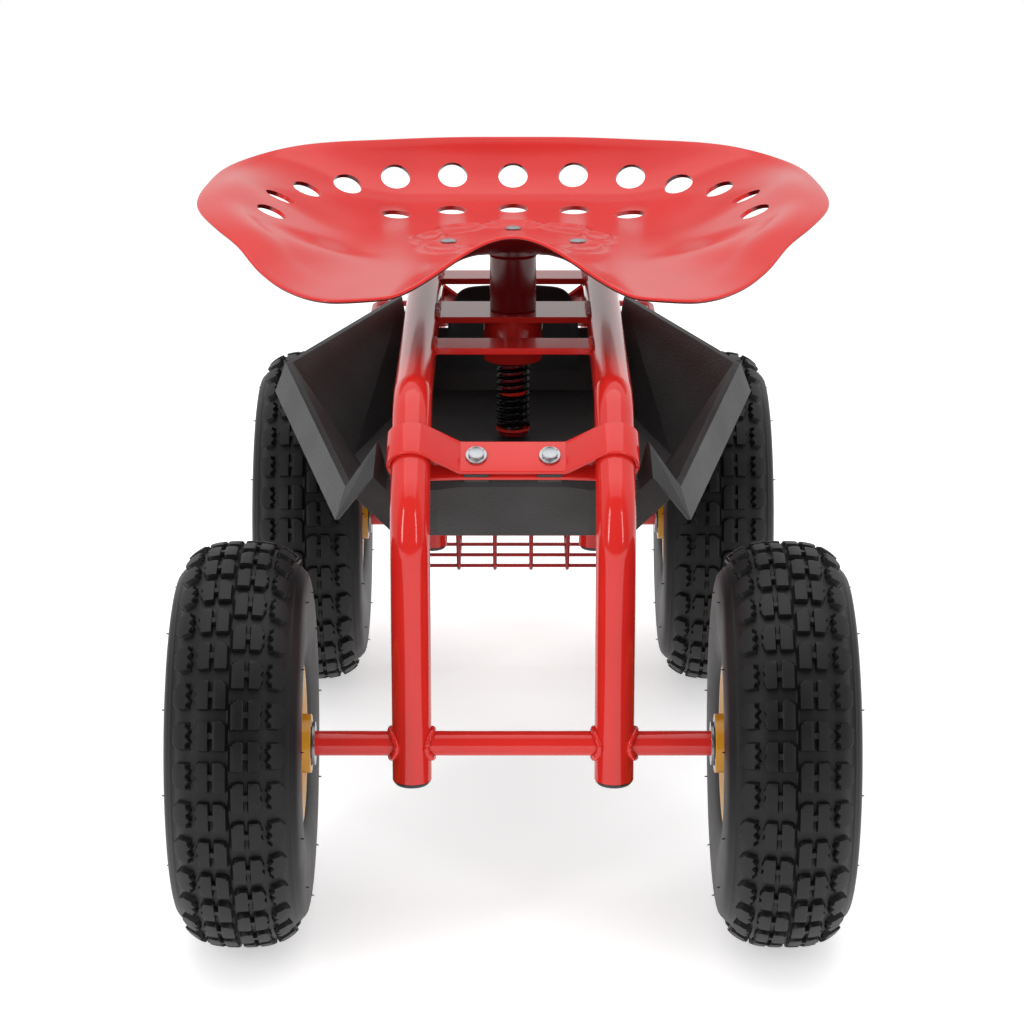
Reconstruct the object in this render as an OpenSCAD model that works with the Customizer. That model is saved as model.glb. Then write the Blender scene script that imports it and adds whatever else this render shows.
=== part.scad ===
// Rolling garden seat: a dished seat on a screwed post, over a wheeled frame of two bent tubes.
// X runs across the seat, Y from front to rear, Z up. The origin is on the ground, under the middle.

/* [Wheels] */
// Distance between the front and rear axles
wheelbase = 515; // [480:5:560]
// Distance between the middle planes of the front tyres
front_track = 344; // [340:2:370]
// Distance between the middle planes of the rear tyres
rear_track = 315; // [312:1:330]
// Outer diameter of a tyre
tyre_d = 260; // [250:2:280]
// Width of a tyre across its sidewalls
tyre_w = 84; // [78:1:86]
// Thickness of a tyre's sidewall
tyre_wall = 6; // [4:0.5:8]
// Thickness of a tyre under its tread
tread_t = 12; // [9:1:16]
// Depth of the tread's grooves
lug_h = 4; // [2:0.5:6]
// Width of the tread's grooves
groove_w = 3.5; // [2:0.5:5]
// Number of lugs round a tyre, on each side of its middle
lug_count = 32; // [20:1:36]
// Outer diameter of a rim's flanges
rim_d = 106; // [100:1:112]
// Width of a rim between its flanges
rim_w = 64; // [58:1:68]
// Sheet thickness of a rim
rim_t = 2.5; // [1.5:0.5:3]
// Outer diameter of a hub tube
hub_d = 38; // [37:0.5:42]
// Distance from a tyre's middle plane to its hub's inner end
hub_in = 43; // [42:1:46]
// Distance from a tyre's middle plane to its hub's outer end
hub_out = 33; // [31:1:36]
// Outer diameter of a wheel bearing
bearing_d = 35; // [32:0.5:35]
// Width of a wheel bearing
bearing_w = 11; // [8:0.5:14]
// Pitch circle of the rim bolts
rim_bolt_circle = 62; // [58:1:66]
// Diameter of the rim bolts
rim_bolt_d = 6; // [5:1:8]

/* [Axles] */
// Diameter of the axle rods
axle_d = 16; // [12:1:18]
// Length of axle beyond a hub's outer end
axle_stub = 13; // [11:1:16]
// Thickness of the washers at a wheel
washer_t = 2; // [1:0.5:3]
// Outer diameter of the washers at a wheel
washer_d = 28; // [24:1:32]
// Diameter of the cotter pins
cotter_d = 3; // [2:0.5:4]
// Height of the weld beads where an axle crosses a leg
weld_h = 3; // [2:0.5:4]

/* [Frame tubes] */
// Outer diameter of the frame tubes
tube_d = 25.4; // [22:0.2:28]
// Wall thickness of the frame tubes
tube_wall = 1.6; // [1.2:0.1:3]
// Distance between the middles of the two frame tubes
tube_spacing = 130; // [124:1:136]
// Height of the rails' middle above the tyres' top
rail_over = 78; // [74:1:100]
// Depth of the legs' ends below the axles
leg_drop = 24; // [20:1:30]
// Radius of the four bends of a frame tube
bend_r = 50; // [45:1:60]
// Length of a sloping shoulder between two bends
slope_len = 54; // [52:1:60]
// Height of a leg's plug below the tube's end
plug_h = 3; // [2:0.5:6]

/* [Cross plates] */
// Thickness of the cross plates
plate_t = 4.5; // [3:0.5:6]
// Height of the plates' upper faces above the rails' middle
plate_rise = 7; // [5:0.5:9]
// Width of the front plate
front_plate_w = 31; // [24:1:36]
// Width of the seat plate
seat_plate_w = 51; // [46:1:60]
// Width of the rear plate
rear_plate_w = 30; // [24:1:36]
// Distance from the seat post forward to the front plate's middle
front_plate_offset = 104; // [90:1:112]
// Distance from the seat post back to the rear plate's middle
rear_plate_offset = 116; // [90:1:118]

/* [Clamps] */
// Width of the clamp strips along the tubes
strap_w = 25; // [20:1:26]
// Thickness of the clamp strips
strap_t = 3; // [2:0.5:3.5]
// Thickness of the pads between a clamp's halves
pad_t = 3; // [2:0.5:3.5]
// Distance from the middle of a shoulder up to the clamp's middle
strap_offset = 1; // [-5:1:10]
// Half the width of a clamp's flat middle
strap_flat = 34; // [32:1:38]
// Distance from the tubes' middle plane back to the outer half's flat face
strap_set = 5; // [3:0.5:7]
// Distance between the two clamp bolts
clamp_bolt_spacing = 47; // [40:1:50]
// Diameter of the clamp bolts
clamp_bolt_d = 6; // [5:1:7]

/* [Tool tray] */
// Thickness of the tray's walls
tray_wall = 3; // [2:0.5:3.5]
// Depth of the tray's underside below the rails' middle
tray_floor_drop = 90; // [88:1:96]
// Depth of the tray's rim below the rails' middle
tray_rim_drop = 20; // [18:1:28]
// Height by which the rim dips at the front corners
tray_dip = 33; // [10:1:34]
// Height by which the rim dips between the tubes
tray_gap_dip = 23; // [22:1:30]
// Height by which the rim dips under the tubes
tray_tube_dip = 25; // [24:1:32]
// Half the tray's width across its middle, at the rim
tray_half_w = 158; // [140:1:160]
// Half the tray's width across its front corners, at the rim
tray_corner_half_w = 107; // [100:1:110]
// Half the width of the tray's floor at its ends
tray_floor_end = 77; // [70:1:80]
// Half the width of the tray's floor across its middle
tray_floor_half_w = 115; // [100:1:125]
// Distance from a leg's middle to the tray's rim
tray_end_gap = 45; // [44:1:50]
// Distance by which the tray's end walls lean out from the floor to the rim
tray_lean = 25; // [10:1:28]
// Distance by which the tray's lip stands out
lip_out = 9; // [6:0.5:11]
// Depth of the tray's downturned lip
lip_drop = 21; // [14:1:24]

/* [Basket] */
// Diameter of the mesh wires
wire_d = 3; // [2:0.5:3.5]
// Diameter of the rim wire
rim_wire_d = 5; // [4:0.5:6]
// Depth of the basket's rim below the start of the legs' bends
basket_set = 0.6; // [0:0.2:20]
// Depth of the basket from its rim to its floor
basket_depth = 173; // [140:1:180]
// Distance from the rear tyres' inner sides out to the basket's rim
basket_reach = 0.5; // [-6:0.5:1]
// Width of the basket's floor as a share of its rim's width
basket_taper = 0.75; // [0.65:0.01:0.8]
// Length of the basket's rim from front to rear
basket_l = 190; // [170:1:200]
// Gap between the rear legs and the basket's rim wire
basket_gap = 0.6; // [0.3:0.1:2]

/* [Seat post] */
// Distance from the front axle back to the seat post
post_setback = 307; // [290:1:320]
// Outer diameter of the seat post
post_d = 33; // [30:1:38]
// Wall thickness of the seat post
post_wall = 2.5; // [2:0.5:4]
// Diameter of the post screw
screw_d = 16; // [14:1:18]
// Rise of the seat in one turn of the screw
screw_lead = 5; // [3:0.5:6]
// Outer diameter of the collar
collar_d = 42; // [38:1:46]
// Length of the collar below the seat plate
collar_h = 32; // [20:1:34]
// Outer diameter of the spring
spring_d = 24.4; // [23:0.2:27]
// Diameter of the spring's wire
spring_wire = 2.4; // [2:0.1:2.6]
// Length of the spring with the seat at its lowest
spring_len = 50; // [48:1:51]
// Number of the spring's turns
spring_turns = 10; // [8:1:11]
// Thickness of the end nut
end_nut_h = 3.5; // [3:0.5:4]

/* [Seat] */
// Half the seat's width
seat_half_w = 222; // [200:1:230]
// Distance from the seat post back to the seat's rear edge
seat_rear = 173; // [160:1:185]
// Height of the pan's upper face above the rails' middle
seat_rise = 56; // [50:1:66]
// Height of the rear edge over the pan
seat_back_h = 44; // [30:1:60]
// Sheet thickness of the seat
seat_t = 3; // [2:0.5:4]
// Radius of the flat middle of the pan
seat_flat_r = 70; // [66:1:80]
// Height of the pressed ring in the pan
ring_h = 2.5; // [1:0.5:4]
// Diameter of the round holes
hole_d = 22; // [16:1:24]
// Diameter of the boss of the bracket under the seat
flange_d = 42; // [38:1:60]
// Thickness of the bracket under the seat
flange_t = 4; // [3:0.5:6]
// Width of the bracket's arms
arm_w = 18; // [16:1:22]
// Pitch circle of the seat bolts
seat_bolt_circle = 92; // [84:1:94]
// Diameter of the seat bolts
seat_bolt_d = 6; // [5:0.5:6]

/* [Hidden] */

red = "#d8362e";
dark_red = "#a02028";
yellow = "#d9a520";
rubber = "#202022";
plastic = "#2c2c2e";
zinc = "#c4c6c8";
black = "#18181a";

// Clearances: fit is round a shaft or a bolt, seat_gap is between pieces that rest on each other,
// and run_gap is beside a piece that turns. Cuts run past the faces that they cut by over.
fit = 0.05;
bolt_fit = 0.2;
seat_gap = 0.02;
run_gap = 0.3;
over = 1;
left = -1;
right = 1;

// Places of the main pieces. The origin is midway between the front of the tyres and the basket's rear.
tube_r = tube_d / 2;
tube_x = tube_spacing / 2;
rear_reach = wheelbase + tube_r + basket_gap + rim_wire_d + basket_l;
front_y = -(rear_reach - tyre_d / 2) / 2;
rear_y = front_y + wheelbase;
post_y = front_y + post_setback;
axle_z = tyre_d / 2;
rail_z = tyre_d + rail_over;
leg_z = axle_z - leg_drop;

// The tube's bends, shoulders and rail. A shoulder climbs 3 in 5 of its length and runs 4 in 5.
slope_climb = 0.6;
slope_run = 0.8;
shoulder_run = bend_r * (1 - slope_climb) + slope_len * slope_run + bend_r * slope_climb;
shoulder_climb = bend_r * slope_run + slope_len * slope_climb + bend_r * (1 - slope_run);
bend_z = rail_z - shoulder_climb;

// Straight tube along +Z
module round_bar(r, h) {
    cylinder(r = r, h = h, $fn = 48);
}

// Bend of a bar in the YZ plane: the part of a ring that lies between the directions a and b from its centre
module bend(r, centre, a, b) {
    reach = 3 * bend_r;
    intersection() {
        translate([0, centre[0], centre[1]]) rotate([0, 90, 0])
            rotate_extrude($fn = 96) translate([bend_r, 0]) circle(r = r, $fn = 48);
        multmatrix([[0, 0, 1, -2 * r], [1, 0, 0, 0], [0, 1, 0, 0], [0, 0, 0, 1]]) linear_extrude(height = 4 * r)
            polygon([centre, centre + reach * a, centre + reach * (a + b), centre + reach * b]);
    }
}

// One leg and shoulder of a frame tube's outer or inner shape, up to the start of the rail
module leg_and_shoulder(r, extra) {
    to_leg = [-1, 0];
    to_slope = [-slope_climb, slope_run];
    to_rail = [0, 1];
    translate([0, 0, leg_z - extra]) round_bar(r, bend_z - leg_z + extra);
    bend(r, [bend_r, bend_z], to_leg, to_slope);
    translate([0, bend_r * (1 - slope_climb), bend_z + bend_r * slope_run])
        multmatrix([[1, 0, 0, 0], [0, slope_climb, slope_run, 0], [0, -slope_run, slope_climb, 0], [0, 0, 0, 1]])
            round_bar(r, slope_len);
    bend(r, [shoulder_run, rail_z - bend_r], to_slope, to_rail);
}

module arch(r, extra = 0) {
    translate([0, front_y, 0]) leg_and_shoulder(r, extra);
    translate([0, rear_y, 0]) mirror([0, 1, 0]) leg_and_shoulder(r, extra);
    translate([0, front_y + shoulder_run, rail_z]) rotate([-90, 0, 0]) round_bar(r, wheelbase - 2 * shoulder_run);
}

module frame_tube(side) {
    color(red) translate([side * tube_x, 0, 0]) difference() {
        arch(tube_r);
        arch(tube_r - tube_wall, over);
        for (y = [front_y, rear_y])
            translate([-tube_d, y, axle_z]) rotate([0, 90, 0]) round_bar(axle_d / 2 + seat_gap, 2 * tube_d);
        translate([0, rear_y, clip_z + clip_h / 2]) rotate([0, side * 90, 0])
            round_bar(clip_screw_d / 2 + seat_gap, tube_d);
    }
}

module left_tube() { frame_tube(left); }
module right_tube() { frame_tube(right); }

// Plugs in the legs' open ends
plug_reach = 10;
plug_inset = 1;
module tube_plugs() {
    color(black) for (x = [-tube_x, tube_x], y = [front_y, rear_y]) translate([x, y, leg_z - plug_h]) {
        round_bar(tube_r - plug_inset, plug_h - seat_gap);
        round_bar(tube_r - tube_wall - seat_gap, plug_h + plug_reach);
    }
}

// The axle rods, cross-drilled near their ends for the cotter pins
cotter_inset = 5;
module axle(track, y) {
    half = track / 2 + hub_out + axle_stub;
    color(red) difference() {
        translate([-half, y, axle_z]) rotate([0, 90, 0]) round_bar(axle_d / 2, 2 * half);
        for (side = [left, right])
            translate([side * (half - cotter_inset), y, axle_z - axle_d]) round_bar(cotter_d / 2 + seat_gap, 2 * axle_d);
    }
}

module front_axle() { axle(front_track, front_y); }
module rear_axle() { axle(rear_track, rear_y); }

// A weld bead is what a short cone on the axle leaves outside the leg that it runs into.
bead_start = tube_r * 0.4;
bead_foot = tube_r * 0.9;
bead_edge = 1;
module weld_bead() {
    difference() {
        translate([bead_start, 0, 0]) rotate([0, 90, 0])
            cylinder(r1 = bead_foot, r2 = axle_d / 2 + bead_edge, h = tube_r + weld_h - bead_start, $fn = 48);
        translate([-over, 0, 0]) rotate([0, 90, 0]) round_bar(axle_d / 2 + seat_gap, tube_d);
        translate([0, 0, -tube_d]) round_bar(tube_r + seat_gap, 2 * tube_d);
    }
}

module weld_beads() {
    color(red) for (x = [-tube_x, tube_x], y = [front_y, rear_y], side = [left, right])
        translate([x, y, axle_z]) scale([side, 1, 1]) weld_bead();
}

// A cross plate between the rails, coped at its ends to the tubes
module cross_plate(y, w) {
    translate([0, y, rail_z + plate_rise - plate_t]) difference() {
        translate([-tube_x, -w / 2, 0]) cube([2 * tube_x, w, plate_t]);
        for (side = [left, right]) translate([side * tube_x, -w, plate_t - plate_rise])
            rotate([-90, 0, 0]) round_bar(tube_r + seat_gap, 2 * w);
        for (side = [left, right]) translate([side * tube_x - tube_r / 2, -w, -over])
            cube([tube_r, 2 * w, plate_t + 2 * over]);
    }
}

module front_plate() { color(red) cross_plate(post_y - front_plate_offset, front_plate_w); }
module rear_plate() { color(red) cross_plate(post_y + rear_plate_offset, rear_plate_w); }

plate_top = rail_z + plate_rise;
plate_bottom = plate_top - plate_t;
module seat_plate() {
    color(red) difference() {
        cross_plate(post_y, seat_plate_w);
        translate([0, post_y, plate_bottom - over]) round_bar(screw_d / 2 + fit, plate_t + 2 * over);
    }
}

module collar() {
    color(red) translate([0, post_y, plate_bottom - collar_h]) difference() {
        round_bar(collar_d / 2, collar_h);
        translate([0, 0, -over]) round_bar(screw_d / 2 + fit, collar_h + 2 * over);
    }
}

// Clamps: each half is a strip with a flat middle, bent up to the tubes and round their outer sides.
clamp_in = tube_r + fit;
clamp_out = clamp_in + strap_t;
clamp_gap = 0.8;
clamp_bite = 0.4;

// Puts a piece drawn in a clamp's own frame, X across, Y up the slope, Z out of the tubes, on the front shoulder
clamp_climb = (slope_len / 2 + strap_offset) * slope_climb;
clamp_run = (slope_len / 2 + strap_offset) * slope_run;
module on_front_clamp() {
    translate([0, front_y + bend_r * (1 - slope_climb) + clamp_run, bend_z + bend_r * slope_run + clamp_climb])
        multmatrix([[1, 0, 0, 0], [0, slope_run, -slope_climb, 0], [0, slope_climb, slope_run, 0], [0, 0, 0, 1]])
            children();
}

module on_rear_clamp() {
    translate([0, rear_y, 0]) mirror([0, 1, 0]) translate([0, -front_y, 0]) on_front_clamp() children();
}

// Heights, in the clamp's frame, of the faces that a clamp bolt passes: strip, pad, strip, and the tray's tab
outer_face = -strap_set;
pad_face = outer_face - strap_t - seat_gap;
inner_face = pad_face - pad_t - seat_gap;
back_face = inner_face - strap_t;
tab_face = back_face - seat_gap;
nut_face = tab_face - tray_wall;

// Piece of a clamp half: an outline in the XZ plane, w wide along the tubes
module strip(points, w) {
    rotate([90, 0, 0]) linear_extrude(height = w, center = true) polygon(points);
}

// Clamp half whose outer flat lies at face from the tubes' middle plane. Its slanted parts run a little inside
// the rings round the tubes, so that they cross them.
module clamp_half(face) {
    out_r = clamp_out - clamp_bite;
    in_r = clamp_in - clamp_bite;
    slant = atan2(-face, tube_x - strap_flat) + asin(out_r / norm([tube_x - strap_flat, face]));
    outer = [tube_x - out_r * sin(slant), out_r * cos(slant)];
    inner = [tube_x - in_r * sin(slant), in_r * cos(slant)];
    flat_in = strap_flat + strap_t * tan(slant / 2);
    low = -2 * tube_d;
    difference() {
        union() {
            for (side = [left, right]) translate([side * tube_x, strap_w / 2, 0]) rotate([90, 0, 0])
                round_bar(clamp_out, strap_w);
            strip([[-strap_flat, face], [strap_flat, face], outer, [tube_x, 0], [tube_x, low],
                [-tube_x, low], [-tube_x, 0], [-outer[0], outer[1]]], strap_w);
        }
        for (side = [left, right]) translate([side * tube_x, strap_w, 0]) rotate([90, 0, 0])
            round_bar(clamp_in, 2 * strap_w);
        strip([[-flat_in, face - strap_t], [flat_in, face - strap_t], inner, [tube_x + over, 0],
            [tube_x + over, low - over], [-tube_x - over, low - over], [-tube_x - over, 0],
            [-inner[0], inner[1]]], 2 * strap_w);
        for (side = [left, right]) translate([side > 0 ? tube_x : -tube_x - 2 * clamp_out, -strap_w, low - over])
            cube([2 * clamp_out, 2 * strap_w, clamp_gap / 2 - low + over]);
        for (side = [left, right])
            translate([side * clamp_bolt_spacing / 2, 0, 2 * low]) round_bar(clamp_bolt_d / 2 + bolt_fit, -4 * low);
    }
}

// The inner half is the same strip, turned over, with a deeper middle.
module front_clamp_outer() { color(red) on_front_clamp() clamp_half(outer_face); }
module front_clamp_inner() { color(red) on_front_clamp() mirror([0, 0, 1]) clamp_half(-back_face); }
module rear_clamp_outer() { color(red) on_rear_clamp() clamp_half(outer_face); }
module rear_clamp_inner() { color(red) on_rear_clamp() mirror([0, 0, 1]) clamp_half(-back_face); }

// Width of a pad, which is also that of the tray's tab behind it
pad_w = 16;

// Hexagon bolt or nut sizes follow the thread's diameter.
hex_share = 1.65;
flange_share = 2.3;
head_share = 0.7;
nut_share = 0.85;

// Bolt along -Z, whose head rests on the plane Z = 0
module bolt(d, length) {
    flange_h = d * head_share / 3;
    translate([0, 0, seat_gap]) {
        round_bar(d * flange_share / 2, flange_h);
        cylinder(r = d * hex_share / 2 / cos(30), h = d * head_share, $fn = 6);
    }
    translate([0, 0, -length]) round_bar(d / 2, length + d / 2);
}

// Nut along -Z, whose upper face is the plane Z = 0
module nut(d) {
    translate([0, 0, -d * nut_share - seat_gap]) difference() {
        cylinder(r = d * hex_share / 2 / cos(30), h = d * nut_share, $fn = 6);
        translate([0, 0, -over]) round_bar(d / 2 + seat_gap, d * nut_share + 2 * over);
    }
}

module clamp_pads() {
    color(black) at_clamp_bolts() translate([-pad_w / 2, -strap_w / 2, pad_face - pad_t]) difference() {
        cube([pad_w, strap_w, pad_t]);
        translate([pad_w / 2, strap_w / 2, -over]) round_bar(clamp_bolt_d / 2 + bolt_fit, pad_t + 2 * over);
    }
}

// Length of a bolt's thread beyond its nut's upper face, as a share of its diameter
thread_share = 1.4;
clamp_bolt_len = outer_face - nut_face + thread_share * clamp_bolt_d;
module at_clamp_bolts() {
    for (x = [-clamp_bolt_spacing / 2, clamp_bolt_spacing / 2]) {
        on_front_clamp() translate([x, 0, 0]) children();
        on_rear_clamp() translate([x, 0, 0]) children();
    }
}

module clamp_bolts() { color(zinc) at_clamp_bolts() translate([0, 0, outer_face]) bolt(clamp_bolt_d, clamp_bolt_len); }
module clamp_nuts() { color(zinc) at_clamp_bolts() translate([0, 0, nut_face]) nut(clamp_bolt_d); }

// Tool tray: each station round its edge gives the rim's place and how much of the lip it carries.
tray_front = front_y + tray_end_gap;
tray_rear = rear_y - tray_end_gap;
tray_mid = (front_y + rear_y) / 2;
tray_floor_z = rail_z - tray_floor_drop;
tray_rim_z = rail_z - tray_rim_drop;
ear_out = tube_x + clamp_out + 2 * tray_wall;
ear_in = tube_x + clamp_out + run_gap;
no_lip = 0.2;
full_lip = 1;

// Each row: rim X, rim Z, floor X, lip share. The rows of an end go outwards, and its floor edge bows a little.
end_rows = [
    [strap_flat, tray_rim_z - tray_gap_dip, strap_flat, no_lip],
    [tube_x - tube_r - tray_wall, tray_rim_z - tray_tube_dip, tube_x - tube_r - tray_wall, no_lip],
    [ear_in, tray_rim_z - tray_tube_dip, tray_floor_end - 2 * tray_wall, no_lip],
    [ear_out, tray_rim_z, tray_floor_end - tray_wall, full_lip]];
function bow(x) = (x / tray_floor_end) ^ 2;

// Each row: rim X, rim Y, rim Z, floor X, floor Y, lip share
tray_side = concat(
    [for (r = end_rows) [r[0], tray_front, r[1], r[2], tray_front + tray_lean + bow(r[2]), r[3]]],
    [[tray_corner_half_w, tray_front + tray_lean / 2, tray_rim_z - tray_dip,
        tray_floor_end, tray_front + tray_lean + bow(tray_floor_end), full_lip],
    [tray_half_w, tray_mid, tray_rim_z, tray_floor_half_w, tray_mid, full_lip]],
    [for (i = [3:-1:0]) let (r = end_rows[i])
        [r[0], tray_rear, r[1], r[2], tray_rear - tray_lean - bow(r[2]), r[3]]]);
function mirrored(rows) = [for (i = [len(rows) - 1:-1:0]) let (r = rows[i]) [-r[0], r[1], r[2], -r[3], r[4], r[5]]];
tray_rows = concat(tray_side, mirrored(tray_side));
tray_n = len(tray_rows);

// Outward direction in plan at a station, long enough that a shift by it moves both edges by one
function edge_normal(a, b) = let (d = b - a) [d[1], -d[0]] / norm(d);
function miter(points, i) = let (
    n = len(points),
    n1 = edge_normal(points[(i + n - 1) % n], points[i]),
    n2 = edge_normal(points[i], points[(i + 1) % n])) (n1 + n2) / (1 + n1 * n2);
rim_plan = [for (r = tray_rows) [r[0], r[1]]];
floor_plan = [for (r = tray_rows) [r[3], r[4]]];
function tray_loop(plan, shift, lift) = [for (i = [0:tray_n - 1])
    let (p = plan[i] + shift[i] * miter(plan, i)) [p[0], p[1], lift[i]]];
function same(v) = [for (i = [0:tray_n - 1]) v];
tray_loops = [
    tray_loop(floor_plan, same(0), same(tray_floor_z)),
    tray_loop(rim_plan, same(0), [for (r = tray_rows) r[2] - tray_wall]),
    tray_loop(rim_plan, [for (r = tray_rows) max(0, (lip_out - tray_wall) * r[5])],
        [for (r = tray_rows) r[2] - tray_wall - (lip_drop - tray_wall) * r[5]]),
    tray_loop(rim_plan, [for (r = tray_rows) lip_out * r[5]],
        [for (r = tray_rows) r[2] - tray_wall - (lip_drop - tray_wall) * r[5]]),
    tray_loop(rim_plan, [for (r = tray_rows) tray_wall / 2 * r[5]], [for (r = tray_rows) r[2]]),
    tray_loop(rim_plan, same(-tray_wall), [for (r = tray_rows) r[2]]),
    tray_loop(floor_plan, same(-tray_wall), same(tray_floor_z + tray_wall))];

// Closed surface through loops of equal length, capped at both ends. The patches of rows before fold are split
// along one diagonal and the others along the other one, so that both faces of a wall match, and halfway round
// they change places, so that both sides do.
function patch(a, b, n, other) = other ? [[a, b, a + n], [b, b + n, a + n]] : [[a, b, b + n], [a, b + n, a + n]];
module skin(loops, fold) {
    n = len(loops[0]);
    points = [for (l = loops) for (p = l) p];
    walls = [for (k = [0:len(loops) - 2], i = [0:n - 1]) each
        patch(k * n + i, k * n + (i + 1) % n, n, (k >= fold) != (i >= n / 2))];
    polyhedron(points, concat([[for (i = [n - 1:-1:0]) i]], walls, [[for (i = [0:n - 1]) (len(loops) - 1) * n + i]]));
}

// A tab behind the clamp at each of its bolts carries the tray.
tab_low = 12;
tab_high = 9;
module tray_tabs() {
    for (side = [left, right]) translate([side * clamp_bolt_spacing / 2, 0, tab_face - tray_wall]) difference() {
        translate([-pad_w / 2, -tab_low, 0]) cube([pad_w, tab_low + tab_high, tray_wall]);
        translate([0, 0, -over]) round_bar(clamp_bolt_d / 2 + bolt_fit, tray_wall + 2 * over);
    }
}

module tool_tray() {
    color(plastic) union() {
        skin(reversed(tray_loops), 3);
        on_front_clamp() tray_tabs();
        on_rear_clamp() tray_tabs();
    }
}

// Basket behind the rear legs
wire_r = wire_d / 2;
rim_wire_r = rim_wire_d / 2;
basket_front = rear_y + tube_r + basket_gap + rim_wire_r;
basket_rear = basket_front + basket_l;
basket_rim_z = bend_z - basket_set;
basket_floor_z = basket_rim_z - basket_depth;
basket_half_w = rear_track / 2 - tyre_w / 2 + basket_reach;
floor_half = basket_half_w * basket_taper;
wire_pitch = floor_half / 3;
floor_len = 5 * wire_pitch;
rim_corner_r = 12;

module bar_between(a, b, r) {
    d = b - a;
    translate(a) rotate([0, acos(d[2] / norm(d)), atan2(d[1], d[0])]) cylinder(r = r, h = norm(d), $fn = 16);
}

// Wire through a list of points, with a ball at each bend, which stands out of the wire by a hair
ball_out = 0.05;
module wire_path(points, r) {
    for (i = [0:len(points) - 2]) bar_between(points[i], points[i + 1], r);
    for (i = [1:len(points) - 2]) translate(points[i]) sphere(r = r + ball_out, $fn = 16);
}

module basket_rim() {
    w = basket_half_w - rim_corner_r;
    color(dark_red) translate([0, 0, basket_rim_z]) {
        for (x = [-w, w], y = [basket_front + rim_corner_r, basket_rear - rim_corner_r])
            translate([x, y, 0]) rotate([0, 0, x < 0 ? (y < (basket_front + basket_rear) / 2 ? 180 : 90)
                : (y < (basket_front + basket_rear) / 2 ? 270 : 0)])
                rotate_extrude(angle = 90, $fn = 48) translate([rim_corner_r, 0]) circle(r = rim_wire_r, $fn = 24);
        for (y = [basket_front, basket_rear]) translate([-w, y, 0]) rotate([0, 90, 0]) round_bar(rim_wire_r, 2 * w);
        for (x = [-basket_half_w, basket_half_w]) translate([x, basket_front + rim_corner_r, 0])
            rotate([-90, 0, 0]) round_bar(rim_wire_r, basket_l - 2 * rim_corner_r);
    }
}

// The mesh has three layers: wires across the basket, wires along it outside them, and level wires round its
// walls inside them. They end under the rim.
wall_top = basket_rim_z - rim_wire_r - run_gap;
wall_splay = 1.1;
wire_step = wire_d + seat_gap;
mesh_front = basket_front + rim_wire_r;
mesh_rear = mesh_front + floor_len;
function mix(a, b, share) = a + (b - a) * share;

cross_wires = 6;
module basket_cross_wires() {
    color(dark_red) for (i = [0:cross_wires - 1]) let (share = i / (cross_wires - 1),
            y = mix(mesh_front, mesh_rear, share),
            top_y = mix(basket_front + rim_corner_r / 2, basket_rear - rim_corner_r / 2, share))
        wire_path([[-basket_half_w, top_y, wall_top], [-floor_half, y, basket_floor_z],
            [floor_half, y, basket_floor_z], [basket_half_w, top_y, wall_top]], wire_r);
}

module basket_long_wires() {
    color(dark_red) for (i = [-2.5:1:2.5]) let (x = i * wire_pitch)
        wire_path([[x * wall_splay, mesh_front - wire_step, wall_top],
            [x, mesh_front - wire_step, basket_floor_z - wire_step],
            [x, mesh_rear + wire_step, basket_floor_z - wire_step],
            [x * wall_splay, basket_rear, wall_top]], wire_r);
}

// The walls lean, so that a level wire stands a little more than a wire's width inside them.
ring_levels = 4;
ring_step = wire_step * 1.05;
module basket_ring_wires() {
    color(dark_red) for (k = [1:ring_levels]) let (share = k / (ring_levels + 1),
            x = mix(floor_half, basket_half_w, share) - ring_step,
            y = mix(mesh_rear + wire_step, basket_rear, share) - ring_step,
            z = mix(basket_floor_z, wall_top, share))
        wire_path([[0, mesh_front, z], [x, mesh_front, z], [x, y, z], [-x, y, z], [-x, mesh_front, z],
            [0, mesh_front, z]], wire_r);
}

// A clip goes round a rear leg and holds the basket's rim wire behind it.
clip_t = 2;
clip_h = 14;
clip_w = 8;
clip_z = basket_rim_z - rim_wire_r - run_gap - clip_h;
clip_screw_d = 4;
clip_out = tube_r + fit + clip_t;
module at_clips() {
    for (side = [left, right]) translate([side * tube_x, rear_y, clip_z]) scale([side, 1, 1]) children();
}

module basket_clips() {
    wire_y = basket_front - rear_y;
    wire_h = basket_rim_z - clip_z;
    color(red) at_clips() difference() {
        union() {
            round_bar(clip_out, clip_h);
            translate([-clip_w / 2, tube_r / 2, 0]) cube([clip_w, wire_y + rim_wire_r + clip_t - tube_r / 2,
                wire_h + rim_wire_r + clip_t]);
        }
        translate([0, 0, -over]) round_bar(tube_r + fit, wire_h + tube_d);
        translate([-clip_w, wire_y, wire_h]) rotate([0, 90, 0]) round_bar(rim_wire_r + fit, 2 * clip_w);
        translate([0, 0, clip_h / 2]) rotate([0, 90, 0]) round_bar(clip_screw_d / 2 + seat_gap, tube_d);
    }
}

clip_screw_len = 9;
module clip_screws() {
    color(zinc) at_clips() translate([clip_out, 0, clip_h / 2]) rotate([0, 90, 0]) {
        translate([0, 0, -clip_screw_len]) round_bar(clip_screw_d / 2, clip_screw_len + clip_t / 2);
        translate([0, 0, seat_gap]) cylinder(r1 = clip_screw_d, r2 = clip_screw_d / 2, h = clip_t, $fn = 32);
    }
}

// Wheels, drawn along Z with the outboard side up
module on_wheel(side, track, y) {
    scale([side, 1, 1]) translate([track / 2, y, axle_z]) rotate([0, 90, 0]) children();
}

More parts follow.
